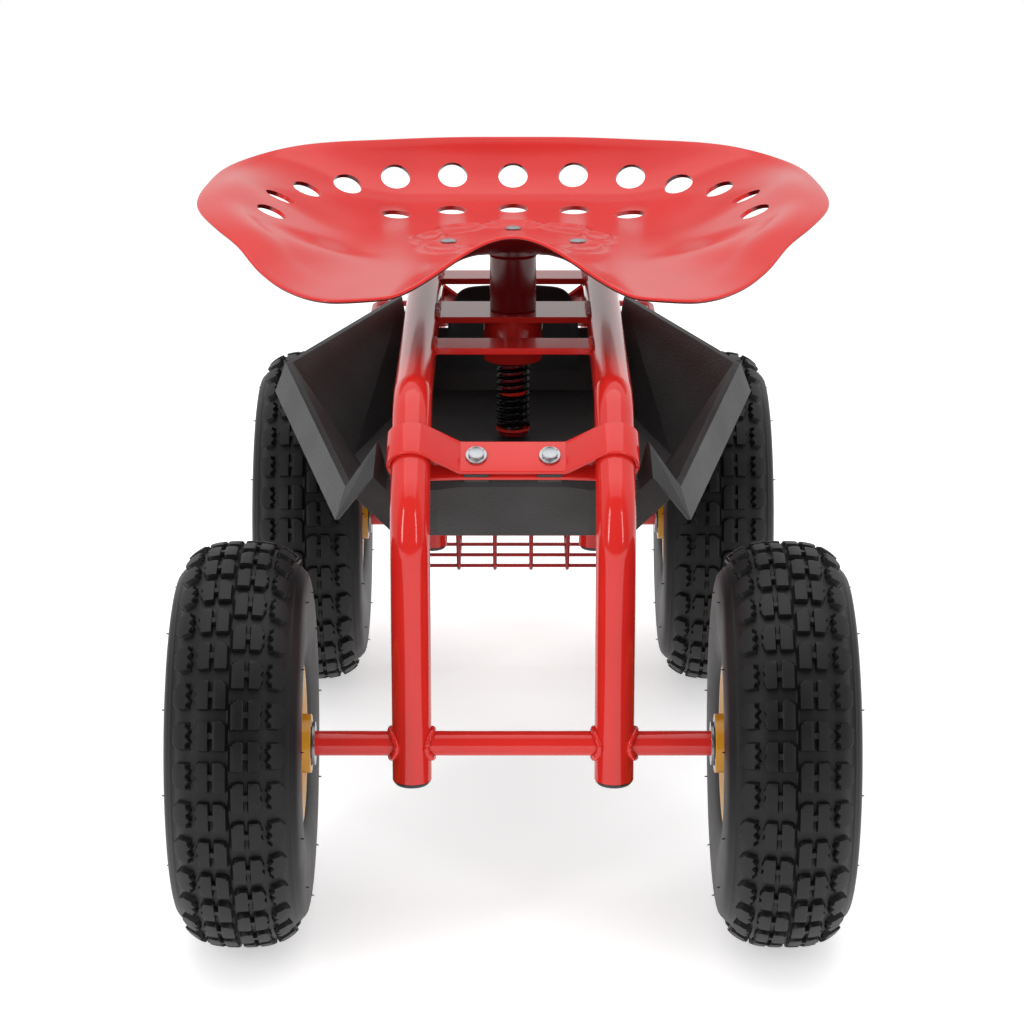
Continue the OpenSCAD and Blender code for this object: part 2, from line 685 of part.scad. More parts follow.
// Cross-section of a tyre: bead at the rim, rounded sidewalls, and a crown that is flatter than a circle
crown_steps = 14;
side_steps = 5;
crown_power = 0.72;
cavity_power = 0.8;
tyre_mid_share = 0.47;
bead_h = 6;
bead_in_r = rim_d / 2 - bead_h;
bead_z = rim_w / 2 - run_gap;
bead_w = 8;
bead_rise = 2;
belly_r = bead_in_r + (tyre_d / 2 - bead_in_r) * (1 - tyre_mid_share);
function signed_power(v, p) = sign(v) * pow(abs(v), p);
function section(half, top, foot, low, p) = concat(
    [for (i = [side_steps:-1:1]) let (u = 90 * i / side_steps)
        [belly_r - (belly_r - low) * sin(u), foot + (half - foot) * cos(u)]],
    [for (i = [0:crown_steps]) let (t = 180 * i / crown_steps)
        [belly_r + (top - belly_r) * pow(sin(t), p), half * signed_power(cos(t), p)]],
    [for (i = [1:side_steps]) let (u = 90 * i / side_steps)
        [belly_r - (belly_r - low) * sin(u), -foot - (half - foot) * cos(u)]]);
function reversed(a) = [for (i = [len(a) - 1:-1:0]) a[i]];

tread_inner = 2;
shoulder_groove = 0.62;
module tyre_body() {
    r = tyre_d / 2;
    outer = concat([[bead_in_r, bead_z]],
        section(tyre_w / 2, r, bead_z + bead_rise, rim_d / 2 + run_gap, crown_power), [[bead_in_r, -bead_z]]);
    inner = section(tyre_w / 2 - tyre_wall, r - tread_t, bead_z - bead_w, bead_in_r, cavity_power);
    difference() {
        rotate_extrude($fn = 96) polygon(concat(outer, reversed(inner)));
        for (side = [left, right]) translate([0, 0, side * tyre_w / 2 * shoulder_groove - groove_w / 2]) difference() {
            cylinder(r = r + over, h = groove_w, $fn = 96);
            translate([0, 0, -over]) cylinder(r = r - 2 * lug_h, h = groove_w + 2 * over, $fn = 96);
        }
        for (side = [left, right], i = [0:lug_count - 1]) rotate([0, 0, (i + (side > 0 ? 0.5 : 0)) * 360 / lug_count])
            translate([r - lug_h, -groove_w / 2, side > 0 ? tread_inner : -tread_inner - tyre_w / 2])
                cube([2 * lug_h, groove_w, tyre_w / 2]);
    }
}

// Inner tube, with the valve stem that passes through the rim
valve_d = 8;
valve_z = rim_w / 4;
tube_gap = 0.3;
inner_tube_t = 3;
rim_barrel_r = bead_in_r - run_gap - rim_t / 2;
module inner_tube_body() {
    half = tyre_w / 2 - tyre_wall - tube_gap;
    top = tyre_d / 2 - tread_t - tube_gap;
    low = bead_in_r + rim_t;
    foot = bead_z - bead_w - tube_gap - over;
    difference() {
        union() {
            rotate_extrude($fn = 72) polygon(section(half, top, foot, low, cavity_power));
            translate([0, 0, valve_z]) rotate([0, 90, 0]) round_bar(valve_d / 2, belly_r);
        }
        rotate_extrude($fn = 72) polygon(section(half - inner_tube_t, top - inner_tube_t, foot - inner_tube_t,
            low + inner_tube_t, cavity_power));
        translate([-valve_d, -valve_d, valve_z - valve_d]) cube([hub_d / 2 + 2 * valve_d - over, 2 * valve_d, 2 * valve_d]);
    }
}

// A pressed rim half: a disc at the hub, a barrel, and a flange outside the tyre's bead
module rim_half() {
    disc_r = rim_barrel_r - 2 * rim_t;
    flange_z = rim_w / 2;
    difference() {
        rotate_extrude($fn = 96) polygon([
            [hub_d / 2 + seat_gap, seat_gap], [disc_r, seat_gap],
            [rim_barrel_r, 2 * rim_t], [rim_barrel_r, flange_z],
            [rim_d / 2, flange_z + rim_t], [rim_d / 2, flange_z + 2 * rim_t],
            [rim_barrel_r - rim_t, flange_z + rim_t], [rim_barrel_r - rim_t, 3 * rim_t],
            [disc_r - rim_t, rim_t], [hub_d / 2 + seat_gap, rim_t]]);
        for (i = [0:3]) rotate([0, 0, 45 + 90 * i]) translate([rim_bolt_circle / 2, 0, -over])
            round_bar(rim_bolt_d / 2 + bolt_fit, 4 * rim_t);
    }
}

module rim_body() {
    difference() {
        union() { rim_half(); mirror([0, 0, 1]) rim_half(); }
        translate([0, 0, valve_z]) rotate([0, 90, 0]) round_bar(valve_d / 2 + bolt_fit, rim_d);
    }
}

module rim_bolts_body() {
    for (i = [0:3]) rotate([0, 0, 45 + 90 * i]) translate([rim_bolt_circle / 2, 0, 0]) {
        translate([0, 0, rim_t]) bolt(rim_bolt_d, 2 * rim_t + 1.3 * rim_bolt_d);
        translate([0, 0, -rim_t]) nut(rim_bolt_d);
    }
}

// Hub tube, with a seat for a bearing in each end
hub_bore = 28;
module hub_body() {
    difference() {
        translate([0, 0, -hub_in]) round_bar(hub_d / 2, hub_in + hub_out);
        translate([0, 0, -hub_in - over]) round_bar(hub_bore / 2, hub_in + hub_out + 2 * over);
        translate([0, 0, -hub_in - over]) round_bar(bearing_d / 2 + seat_gap, bearing_w + over);
        translate([0, 0, hub_out - bearing_w]) round_bar(bearing_d / 2 + seat_gap, bearing_w + over);
    }
}

// Ball bearing with a dished shield between its rings
ring_w = 2.5;
shield_set = 0.8;
module bearing() {
    rotate_extrude($fn = 72) polygon([
        [axle_d / 2 + fit, seat_gap], [axle_d / 2 + ring_w, seat_gap], [axle_d / 2 + ring_w, shield_set],
        [bearing_d / 2 - ring_w, shield_set], [bearing_d / 2 - ring_w, seat_gap], [bearing_d / 2, seat_gap],
        [bearing_d / 2, bearing_w], [axle_d / 2 + fit, bearing_w]]);
}

module bearings_body() {
    translate([0, 0, -hub_in]) bearing();
    translate([0, 0, hub_out]) mirror([0, 0, 1]) bearing();
}

module front_left_tyre() { color(rubber) on_wheel(left, front_track, front_y) tyre_body(); }
module front_left_inner_tube() { color(black) on_wheel(left, front_track, front_y) inner_tube_body(); }
module front_left_rim() { color(yellow) on_wheel(left, front_track, front_y) rim_body(); }
module front_left_rim_bolts() { color(zinc) on_wheel(left, front_track, front_y) rim_bolts_body(); }
module front_left_hub() { color(yellow) on_wheel(left, front_track, front_y) hub_body(); }
module front_left_bearings() { color(zinc) on_wheel(left, front_track, front_y) bearings_body(); }

module front_right_tyre() { color(rubber) on_wheel(right, front_track, front_y) tyre_body(); }
module front_right_inner_tube() { color(black) on_wheel(right, front_track, front_y) inner_tube_body(); }
module front_right_rim() { color(yellow) on_wheel(right, front_track, front_y) rim_body(); }
module front_right_rim_bolts() { color(zinc) on_wheel(right, front_track, front_y) rim_bolts_body(); }
module front_right_hub() { color(yellow) on_wheel(right, front_track, front_y) hub_body(); }
module front_right_bearings() { color(zinc) on_wheel(right, front_track, front_y) bearings_body(); }

module rear_left_tyre() { color(rubber) on_wheel(left, rear_track, rear_y) tyre_body(); }
module rear_left_inner_tube() { color(black) on_wheel(left, rear_track, rear_y) inner_tube_body(); }
module rear_left_rim() { color(yellow) on_wheel(left, rear_track, rear_y) rim_body(); }
module rear_left_rim_bolts() { color(zinc) on_wheel(left, rear_track, rear_y) rim_bolts_body(); }
module rear_left_hub() { color(yellow) on_wheel(left, rear_track, rear_y) hub_body(); }
module rear_left_bearings() { color(zinc) on_wheel(left, rear_track, rear_y) bearings_body(); }

module rear_right_tyre() { color(rubber) on_wheel(right, rear_track, rear_y) tyre_body(); }
module rear_right_inner_tube() { color(black) on_wheel(right, rear_track, rear_y) inner_tube_body(); }
module rear_right_rim() { color(yellow) on_wheel(right, rear_track, rear_y) rim_body(); }
module rear_right_rim_bolts() { color(zinc) on_wheel(right, rear_track, rear_y) rim_bolts_body(); }
module rear_right_hub() { color(yellow) on_wheel(right, rear_track, rear_y) hub_body(); }
module rear_right_bearings() { color(zinc) on_wheel(right, rear_track, rear_y) bearings_body(); }

// Places every wheel's own pieces that stay still with the axles
module at_wheels() {
    for (side = [left, right]) {
        on_wheel(side, front_track, front_y) children();
        on_wheel(side, rear_track, rear_y) children();
    }
}

module washer(d, bore, h) {
    difference() {
        round_bar(d / 2, h);
        translate([0, 0, -over]) round_bar(bore / 2 + fit, h + 2 * over);
    }
}

module wheel_washers() {
    color(zinc) at_wheels() {
        translate([0, 0, -hub_in - run_gap - washer_t]) washer(washer_d, axle_d, washer_t);
        translate([0, 0, hub_out + run_gap]) washer(washer_d, axle_d, washer_t);
    }
}

cotter_len = 26;
module cotter_pins() {
    color(zinc) at_wheels() translate([0, 0, hub_out + axle_stub - cotter_inset]) {
        translate([-cotter_len / 2, 0, 0]) rotate([0, 90, 0]) round_bar(cotter_d / 2, cotter_len);
        translate([cotter_len / 2, 0, 0]) rotate([90, 0, 0]) translate([0, 0, -cotter_d / 2])
            difference() {
                round_bar(cotter_d, cotter_d);
                translate([0, 0, -over]) round_bar(cotter_d / 2, cotter_d + 2 * over);
            }
    }
}

// Seat post and screw. The post's foot rests on the seat plate at the lowest position.
seat_z = rail_z + seat_rise;
pan_bottom = seat_z - seat_t;
flange_bottom = pan_bottom - seat_gap - flange_t;
post_foot = plate_top + run_gap;
foot_t = 4;
module seat_post() {
    color(dark_red) translate([0, post_y, post_foot]) difference() {
        round_bar(post_d / 2, flange_bottom - post_foot - seat_gap);
        translate([0, 0, foot_t]) round_bar(post_d / 2 - post_wall, flange_bottom - post_foot);
        translate([0, 0, -over]) round_bar(screw_d / 2 + seat_gap, foot_t + 2 * over);
    }
}

spring_top = plate_bottom - collar_h - run_gap;
spring_bottom = spring_top - spring_len;
spring_washer_t = 1.5;
screw_tip = 0.5;
screw_bottom = spring_bottom - run_gap - spring_washer_t - run_gap - end_nut_h - screw_tip;
screw_reach = 12;
module post_screw() {
    color(dark_red) translate([0, post_y, screw_bottom])
        round_bar(screw_d / 2, post_foot + foot_t + screw_reach - screw_bottom);
}

module end_nut() {
    color(red) translate([0, post_y, screw_bottom + screw_tip]) difference() {
        cylinder(r = screw_d * 0.66, h = end_nut_h, $fn = 6);
        translate([0, 0, -over]) round_bar(screw_d / 2 + seat_gap, end_nut_h + 2 * over);
    }
}

module spring_washer() {
    color(red) translate([0, post_y, spring_bottom - run_gap - spring_washer_t])
        washer(spring_d, screw_d, spring_washer_t);
}

// Spring: one wire swept along a helix whose last quarter turn at both ends lies flat
spring_flat = 0.25;
spring_rings = 8;
spring_sides = 6;
spring_mid_r = (spring_d - spring_wire) / 2;
coil_span = spring_len - spring_wire;
function coil_z(t) = coil_span * min(1, max(0, (t - spring_flat) / (spring_turns - 2 * spring_flat)));
coil_steps = spring_turns * spring_rings;
spring_gap = min([for (k = [0:coil_steps - spring_rings])
    coil_z(k / spring_rings + 1) - coil_z(k / spring_rings)]) - spring_wire;
echo(spring_gap = spring_gap);
module spring() {
    loops = [for (k = [0:coil_steps]) let (t = k / spring_rings, a = 360 * t, z = coil_z(t) + spring_wire / 2)
        [for (j = [0:spring_sides - 1]) let (b = 360 * j / spring_sides, rr = spring_mid_r + spring_wire / 2 * cos(b))
            [rr * cos(a), rr * sin(a), z + spring_wire / 2 * sin(b)]]];
    color(black) translate([0, post_y, spring_bottom]) skin(loops, len(loops));
}

// Seat rim from the rear (90 degrees) round one side to the front (-90): angle, distance and height.
// Distances are shares of seat_rear and heights are shares of seat_back_h.
rim_shares = [
    [90, 1.000, 1.00], [75, 1.028, 1.00], [60, 1.098, 0.99], [43, 1.250, 0.965], [28, 1.311, 0.87],
    [11, 1.283, 0.79], [-3, 1.280, 0.67], [-16, 1.235, 0.55], [-26, 1.200, 0.39], [-36, 1.208, 0.14],
    [-45, 1.220, -0.02], [-54, 1.221, -0.07], [-61, 1.136, -0.05], [-68, 1.052, 0], [-74, 0.985, 0],
    [-81, 0.918, 0], [-90, 0.879, 0]];
rim_rows = len(rim_shares);
width_share = 1.28;

// Smooth curve through column c of rim_shares at angle a. Its slope at both ends is zero.
function rim_slope(i, c) = i == 0 || i == rim_rows - 1 ? 0 :
    (rim_shares[i + 1][c] - rim_shares[i - 1][c]) / (rim_shares[i + 1][0] - rim_shares[i - 1][0]);
function rim_share(a, c, i = 0) = i < rim_rows - 2 && a < rim_shares[i + 1][0] ? rim_share(a, c, i + 1) :
    let (span = rim_shares[i + 1][0] - rim_shares[i][0], t = (a - rim_shares[i][0]) / span,
        p = rim_shares[i][c], q = rim_shares[i + 1][c], m = rim_slope(i, c) * span, n = rim_slope(i + 1, c) * span)
    (2 * t ^ 3 - 3 * t ^ 2 + 1) * p + (t ^ 3 - 2 * t ^ 2 + t) * m + (3 * t ^ 2 - 2 * t ^ 3) * q + (t ^ 3 - t ^ 2) * n;

function ease(t) = let (c = min(1, max(0, t))) c * c * (3 - 2 * c);
// Share of the sides' form, a wall that flattens into a flared rim, at an angle from the rear
function side_share(a) = a > 0 ? ease((60 - a) / 60) : ease((a + 50) / 30);
wall_start = 0.25;
wall_end = 0.92;
rear_power = 5;
front_power = 2.5;
function wall_share(a, s) = let (w = side_share(a))
    w * ease((s - wall_start) / (wall_end - wall_start)) + (1 - w) * s ^ (a > 0 ? rear_power : front_power);

// Pressed ring round the seat bolts, and the rolled crest of the flared sides
ring_half = 7;
ring_edge = 2;
ring_r = seat_flat_r - ring_half - ring_edge;
crest_h = 3;
crest_start = 0.75;
function pressed(r) = abs(r - ring_r) < ring_half ? ring_h * (1 + cos(180 * (r - ring_r) / ring_half)) / 2 : 0;
function crest(a, s) = crest_h * side_share(a) * (s > crest_start ? sin(180 * (s - crest_start) / (1 - crest_start)) : 0);

// Ridge that rises forward from the post to the notch between the seat's two front lobes
notch_share = 0.81;
notch_reach = 0.383;
ridge_power = 1.5;
ridge_start = 8;
front_r = seat_rear * rim_shares[rim_rows - 1][1];
function ridge(x, ahead) = seat_back_h * notch_share * (1 - ease(abs(x) / (seat_half_w * notch_reach)))
    * max(0, (ahead - ridge_start) / (front_r - ridge_start)) ^ ridge_power;

function rim_r(a) = let (r = seat_rear * rim_share(a, 1))
    norm([r * cos(a) * seat_half_w / (seat_rear * width_share), r * sin(a)]);
// Direction in plan of the ray at angle a: the seat's width stretches it sideways.
function ray(a) = let (v = [cos(a) * seat_half_w / (seat_rear * width_share), sin(a)]) v / norm(v);
// Point of the pan's upper face on the ray t, counted from the right round the rear, at distance r
function pan_point(t, r) = let (
    a = asin(sin(t)), v = ray(a), s = max(0, (r - seat_flat_r) / (rim_r(a) - seat_flat_r)),
    h = seat_back_h * rim_share(a, 2) * wall_share(a, s) + crest(a, s) + pressed(r) + ridge(v[0] * r, -v[1] * r))
    [(cos(t) < 0 ? -1 : 1) * v[0] * r, v[1] * r, h];
// Upward direction at that point, from its neighbours one step of r and one degree of t away
probe = 1;
function pan_normal(t, r) = let (n = cross(
    pan_point(t, min(r + probe, rim_r(asin(sin(t))))) - pan_point(t, r - probe),
    pan_point(t + 1, r) - pan_point(t - 1, r))) n / norm(n);

ray_count = 72;
wall_rings = 10;
inner_shares = [0.1, 0.5, 1];
ring_steps = [-1, -0.5, 0, 0.5, 1];
inner_r = ring_r - ring_half;
function ring_radii(a) = concat(
    [for (s = inner_shares) s * inner_r],
    [for (s = ring_steps) if (s > -1) ring_r + s * ring_half],
    [for (k = [0:wall_rings]) seat_flat_r + (rim_r(a) - seat_flat_r) * k / wall_rings]);
rings = len(ring_radii(0));
function ray_angle(j) = 360 * j / ray_count;
function pan_loop(k, depth) = [for (j = [0:ray_count - 1]) let (
    t = ray_angle(j), r = ring_radii(asin(sin(t)))[k]) pan_point(t, r) - depth * pan_normal(t, r)];

// Two rows of round holes follow the rear of the rim.
upper_count = 13;
upper_step = 15.1;
upper_side_share = 0.775;
upper_rear_share = 0.89;
lower_count = 5;
lower_step = 20.5;
lower_side_share = 0.86;
lower_rear_share = 0.66;
row_power = 2.6;
function row_r(a, x, y) = (abs(cos(a) / x) ^ row_power + abs(sin(a) / y) ^ row_power) ^ (-1 / row_power);
module pan_hole(t, r) {
    n = pan_normal(t, r);
    translate(pan_point(t, r)) rotate([0, acos(n[2]), atan2(n[1], n[0])])
        cylinder(r = hole_d / 2, h = hole_d, center = true, $fn = 48);
}

module hole_row(count, step, x, y) {
    for (k = [0:count - 1]) let (t = 90 + step * (k - (count - 1) / 2)) pan_hole(t, row_r(t, x, y));
}

// One bolt on each side of the post and one behind it
module at_seat_bolts() {
    for (i = [0:2]) rotate([0, 0, 90 * i]) translate([seat_bolt_circle / 2, 0, 0]) children();
}

module seat_pan() {
    color(red) translate([0, post_y, seat_z]) difference() {
        skin(concat([for (k = [0:rings - 1]) pan_loop(k, 0)], [for (k = [rings - 1:-1:0]) pan_loop(k, seat_t)]), rings);
        hole_row(upper_count, upper_step, seat_half_w * upper_side_share, seat_rear * upper_rear_share);
        hole_row(lower_count, lower_step, seat_half_w * lower_side_share, seat_rear * lower_rear_share);
        at_seat_bolts() translate([0, 0, -2 * seat_t]) round_bar(seat_bolt_d / 2 + bolt_fit, 4 * seat_t);
    }
}

// Bracket on the post's head, with an arm to each seat bolt
module seat_flange() {
    arm = (seat_bolt_circle + arm_w) / 2;
    color(dark_red) translate([0, post_y, flange_bottom]) difference() {
        union() {
            round_bar(flange_d / 2, flange_t);
            translate([-arm, -arm_w / 2, 0]) cube([2 * arm, arm_w, flange_t]);
            translate([-arm_w / 2, 0, 0]) cube([arm_w, arm, flange_t]);
        }
        at_seat_bolts() translate([0, 0, -over]) round_bar(seat_bolt_d / 2 + bolt_fit, flange_t + 2 * over);
    }
}

module seat_bolts() {
    color(zinc) translate([0, post_y, seat_z]) at_seat_bolts()
        bolt(seat_bolt_d, seat_z - flange_bottom + thread_share * seat_bolt_d);
}

module seat_nuts() { color(zinc) translate([0, post_y, flange_bottom]) at_seat_bolts() nut(seat_bolt_d); }

left_tube();
right_tube();
tube_plugs();
front_axle();
rear_axle();
weld_beads();
front_plate();
seat_plate();
rear_plate();
collar();
front_clamp_outer();
front_clamp_inner();
rear_clamp_outer();
rear_clamp_inner();
clamp_pads();
clamp_bolts();
clamp_nuts();
tool_tray();
basket_rim();
basket_cross_wires();
basket_long_wires();
basket_ring_wires();
basket_clips();
clip_screws();
wheel_washers();
cotter_pins();
seat_post();
post_screw();
end_nut();
spring();
spring_washer();
seat_flange();
seat_pan();
seat_bolts();
seat_nuts();
front_left_tyre();
front_left_inner_tube();
front_left_rim();
front_left_rim_bolts();
front_left_hub();
front_left_bearings();
front_right_tyre();
front_right_inner_tube();
front_right_rim();
front_right_rim_bolts();
front_right_hub();
front_right_bearings();
rear_left_tyre();
rear_left_inner_tube();
rear_left_rim();
rear_left_rim_bolts();
rear_left_hub();
rear_left_bearings();
rear_right_tyre();
rear_right_inner_tube();
rear_right_rim();
rear_right_rim_bolts();
rear_right_hub();
rear_right_bearings();
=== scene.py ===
"""Rolling garden seat, dressed for a studio picture.

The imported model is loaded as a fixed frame. Each sub-assembly is a class that holds its own sizes in metres,
works its surfaces out with numpy, and dresses them in the finish of the real piece.
"""
from __future__ import annotations

import logging
import math
from dataclasses import dataclass, field
from enum import Enum
from functools import reduce
from typing import Sequence

import bmesh
import bpy
import numpy as np
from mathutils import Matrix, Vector


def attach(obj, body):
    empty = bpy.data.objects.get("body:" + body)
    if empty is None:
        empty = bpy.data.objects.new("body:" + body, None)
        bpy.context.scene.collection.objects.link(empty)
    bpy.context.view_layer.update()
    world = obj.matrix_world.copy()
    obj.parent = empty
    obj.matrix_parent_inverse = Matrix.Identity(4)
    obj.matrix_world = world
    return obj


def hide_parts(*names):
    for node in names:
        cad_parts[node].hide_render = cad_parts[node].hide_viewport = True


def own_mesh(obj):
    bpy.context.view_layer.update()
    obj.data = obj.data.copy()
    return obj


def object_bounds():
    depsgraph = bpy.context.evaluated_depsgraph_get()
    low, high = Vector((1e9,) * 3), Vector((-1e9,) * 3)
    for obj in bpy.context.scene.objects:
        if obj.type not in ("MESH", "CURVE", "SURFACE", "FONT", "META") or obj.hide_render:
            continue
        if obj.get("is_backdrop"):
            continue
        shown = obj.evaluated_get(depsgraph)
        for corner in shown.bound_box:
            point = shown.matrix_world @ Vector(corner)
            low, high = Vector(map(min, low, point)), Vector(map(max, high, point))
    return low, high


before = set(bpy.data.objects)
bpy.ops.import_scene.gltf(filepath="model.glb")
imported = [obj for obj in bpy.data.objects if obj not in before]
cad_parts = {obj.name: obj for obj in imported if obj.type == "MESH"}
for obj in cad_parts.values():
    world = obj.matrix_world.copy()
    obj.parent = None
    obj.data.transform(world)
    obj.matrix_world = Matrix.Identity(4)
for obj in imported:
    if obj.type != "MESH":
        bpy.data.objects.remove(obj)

log = logging.getLogger("garden_seat")
Points = np.ndarray


class Side(Enum):
    """The two sides of the seat, as the sign of X."""

    LEFT = -1
    RIGHT = 1


class Row(Enum):
    """The front and the rear pair of wheels."""

    FRONT = "front"
    REAR = "rear"


@dataclass(frozen=True)
class Layout:
    """Places that the sub-assemblies share, in metres, in the part's own frame."""

    front_y: float = -0.29665
    rear_y: float = 0.21835
    post_y: float = 0.01035
    axle_z: float = 0.130
    rail_z: float = 0.338
    leg_z: float = 0.106
    tube_x: float = 0.065
    tube_r: float = 0.0127
    front_track: float = 0.344
    rear_track: float = 0.315
    plate_top: float = 0.345
    plate_bottom: float = 0.3405

    def row_y(self, row: Row) -> float:
        """Returns the Y of an axle."""
        return self.front_y if row is Row.FRONT else self.rear_y

    def track(self, row: Row) -> float:
        """Returns the distance between the tyres' middle planes on an axle."""
        return self.front_track if row is Row.FRONT else self.rear_track


LAYOUT = Layout()


# Numbers

def linear(code: str) -> tuple[float, float, float, float]:
    """Turns an sRGB hex colour into the linear colour that shaders take.

    Args:
        code: The colour, such as "#d8362e".

    Returns:
        Red, green, blue and an alpha of 1.
    """
    parts = (int(code[i:i + 2], 16) / 255 for i in (1, 3, 5))
    red, green, blue = (c / 12.92 if c <= 0.04045 else ((c + 0.055) / 1.055) ** 2.4 for c in parts)
    return red, green, blue, 1.0


def ease(t: Points) -> Points:
    """Returns the smooth step 3t^2 - 2t^3 of t, held to 0 and 1 outside them."""
    c = np.clip(t, 0.0, 1.0)
    return c * c * (3 - 2 * c)


def unit(v: Points) -> Points:
    """Returns vectors divided by their lengths."""
    return v / np.maximum(np.linalg.norm(v, axis=-1, keepdims=True), 1e-12)


def highest(*values: Points) -> Points:
    """Returns the largest of several arrays, point by point."""
    return reduce(np.maximum, values)


def triangle(t: Points) -> Points:
    """Returns a wave of straight flanks between 0 and 1, with a period of 1."""
    return np.abs(2 * (t - np.floor(t)) - 1)


# Surfaces

def grid_faces(rows: int, cols: int, wrap_rows: bool, wrap_cols: bool, start: int = 0) -> Points:
    """Lists the four-sided faces of a grid of points.

    Args:
        rows: Number of rows of points.
        cols: Number of points in a row.
        wrap_rows: Whether the last row joins the first.
        wrap_cols: Whether the last point of a row joins its first.
        start: Number of the grid's first point in the mesh.

    Returns:
        An array of point numbers, four to a face.
    """
    i, j = np.meshgrid(np.arange(rows if wrap_rows else rows - 1), np.arange(cols if wrap_cols else cols - 1),
                       indexing="ij")
    i, j = i.ravel(), j.ravel()
    i2, j2 = (i + 1) % rows, (j + 1) % cols
    return start + np.stack([i * cols + j, i2 * cols + j, i2 * cols + j2, i * cols + j2], axis=1)


@dataclass
class Shell:
    """Points and faces of one closed surface, gathered before they become a mesh."""

    points: list[Points] = field(default_factory=list)
    faces: list[Points] = field(default_factory=list)
    count: int = 0

    def add_grid(self, grid: Points, wrap_rows: bool = False, wrap_cols: bool = True, caps: bool = True) -> "Shell":
        """Adds a grid of points as a surface, with a fan over each open end.

        Args:
            grid: Points as rows, columns and three coordinates.
            wrap_rows: Whether the last row joins the first.
            wrap_cols: Whether each row closes on itself.
            caps: Whether the first and last row are closed by a fan round their middle.

        Returns:
            This shell.
        """
        rows, cols = grid.shape[:2]
        start = self.count
        self.points.append(grid.reshape(-1, 3))
        self.faces.append(grid_faces(rows, cols, wrap_rows, wrap_cols, start))
        self.count += rows * cols
        if caps and not wrap_rows:
            for row, turned in ((0, False), (rows - 1, True)):
                ring = start + row * cols + np.arange(cols)
                after = np.roll(ring, -1)
                self.points.append(grid[row].mean(axis=0, keepdims=True))
                middle = np.full(cols, self.count)
                self.faces.append(np.stack([middle, after, ring] if turned else [middle, ring, after], axis=1))
                self.count += 1
        return self

    def build(self, name: str, sharp_deg: float = 35.0) -> bpy.types.Object:
        """Makes the mesh object, turns its faces outwards and marks its sharp edges.

        Args:
            name: The piece's name.
            sharp_deg: Edges that turn more than this stay sharp.

        Returns:
            The object, at the origin.
        """
        mesh = bpy.data.meshes.new(name)
        points = np.concatenate(self.points).astype(np.float32)
        mesh.vertices.add(len(points))
        mesh.vertices.foreach_set("co", points.ravel())
        sizes = np.concatenate([np.full(len(f), f.shape[1]) for f in self.faces])
        corners = np.concatenate([f.ravel() for f in self.faces]).astype(np.int32)
        mesh.loops.add(len(corners))
        mesh.loops.foreach_set("vertex_index", corners)
        mesh.polygons.add(len(sizes))
        mesh.polygons.foreach_set("loop_start", np.concatenate([[0], np.cumsum(sizes)[:-1]]).astype(np.int32))
        mesh.update(calc_edges=True)
        mesh.validate()
        turn_outwards(mesh)
        mesh.shade_smooth()
        mesh.set_sharp_from_angle(angle=math.radians(sharp_deg))
        piece = bpy.data.objects.new(name, mesh)
        bpy.context.scene.collection.objects.link(piece)
        return piece


def turn_outwards(mesh: bpy.types.Mesh) -> None:
    """Points every face of a closed mesh outwards.

    Args:
        mesh: The mesh, which is changed.
    """
    work = bmesh.new()
    work.from_mesh(mesh)
    bmesh.ops.recalc_face_normals(work, faces=work.faces)
    work.to_mesh(mesh)
    work.free()


def circle(radius: float, sides: int) -> Points:
    """Returns a round profile: radius times the cosine and sine of equal steps."""
    a = np.linspace(0, 2 * np.pi, sides, endpoint=False)
    return radius * np.stack([np.cos(a), np.sin(a)], axis=1)


def rounded_box(width: float, height: float, corner: float, steps: int = 4) -> Points:
    """Returns a rectangular profile round the origin whose corners are quarter circles.

    Args:
        width: Size along the profile's first direction.
        height: Size along its second direction.
        corner: Radius of the corners.
        steps: Points on each corner.

    Returns:
        The profile's points.
    """
    a = np.linspace(0, np.pi / 2, steps)
    turns = np.arange(4) * np.pi / 2
    signs = np.array([[1, 1], [-1, 1], [-1, -1], [1, -1]])
    middles = signs * np.array([width / 2 - corner, height / 2 - corner])
    around = turns[:, None] + a[None, :]
    arcs = corner * np.stack([np.cos(around), np.sin(around)], axis=2)
    return (middles[:, None, :] + arcs).reshape(-1, 2)


def carry(path: Points, profile: Points, normal: Points, closed: bool = False) -> Points:
    """Carries a profile along a path.

    Each point is the path's point, plus the profile's first value along the path's side direction (its
    tangent crossed with the normal), plus the profile's second value along the normal.

    Args:
        path: Points of the path.
        profile: Points of the profile, or one profile for each point of the path.
        normal: One vector for the whole path, or one for each of its points.
        closed: Whether the path's end joins its start.

    Returns:
        A grid of points, one row for each point of the path.
    """
    if closed:
        tangent = unit(np.roll(path, -1, axis=0) - np.roll(path, 1, axis=0))
    else:
        tangent = unit(np.gradient(path, axis=0))
    normal = np.broadcast_to(normal, path.shape)
    normal = unit(normal - np.sum(normal * tangent, axis=1, keepdims=True) * tangent)
    side = np.cross(tangent, normal)
    profile = np.broadcast_to(profile, (len(path),) + profile.shape[-2:])
    return path[:, None, :] + profile[:, :, :1] * side[:, None, :] + profile[:, :, 1:] * normal[:, None, :]


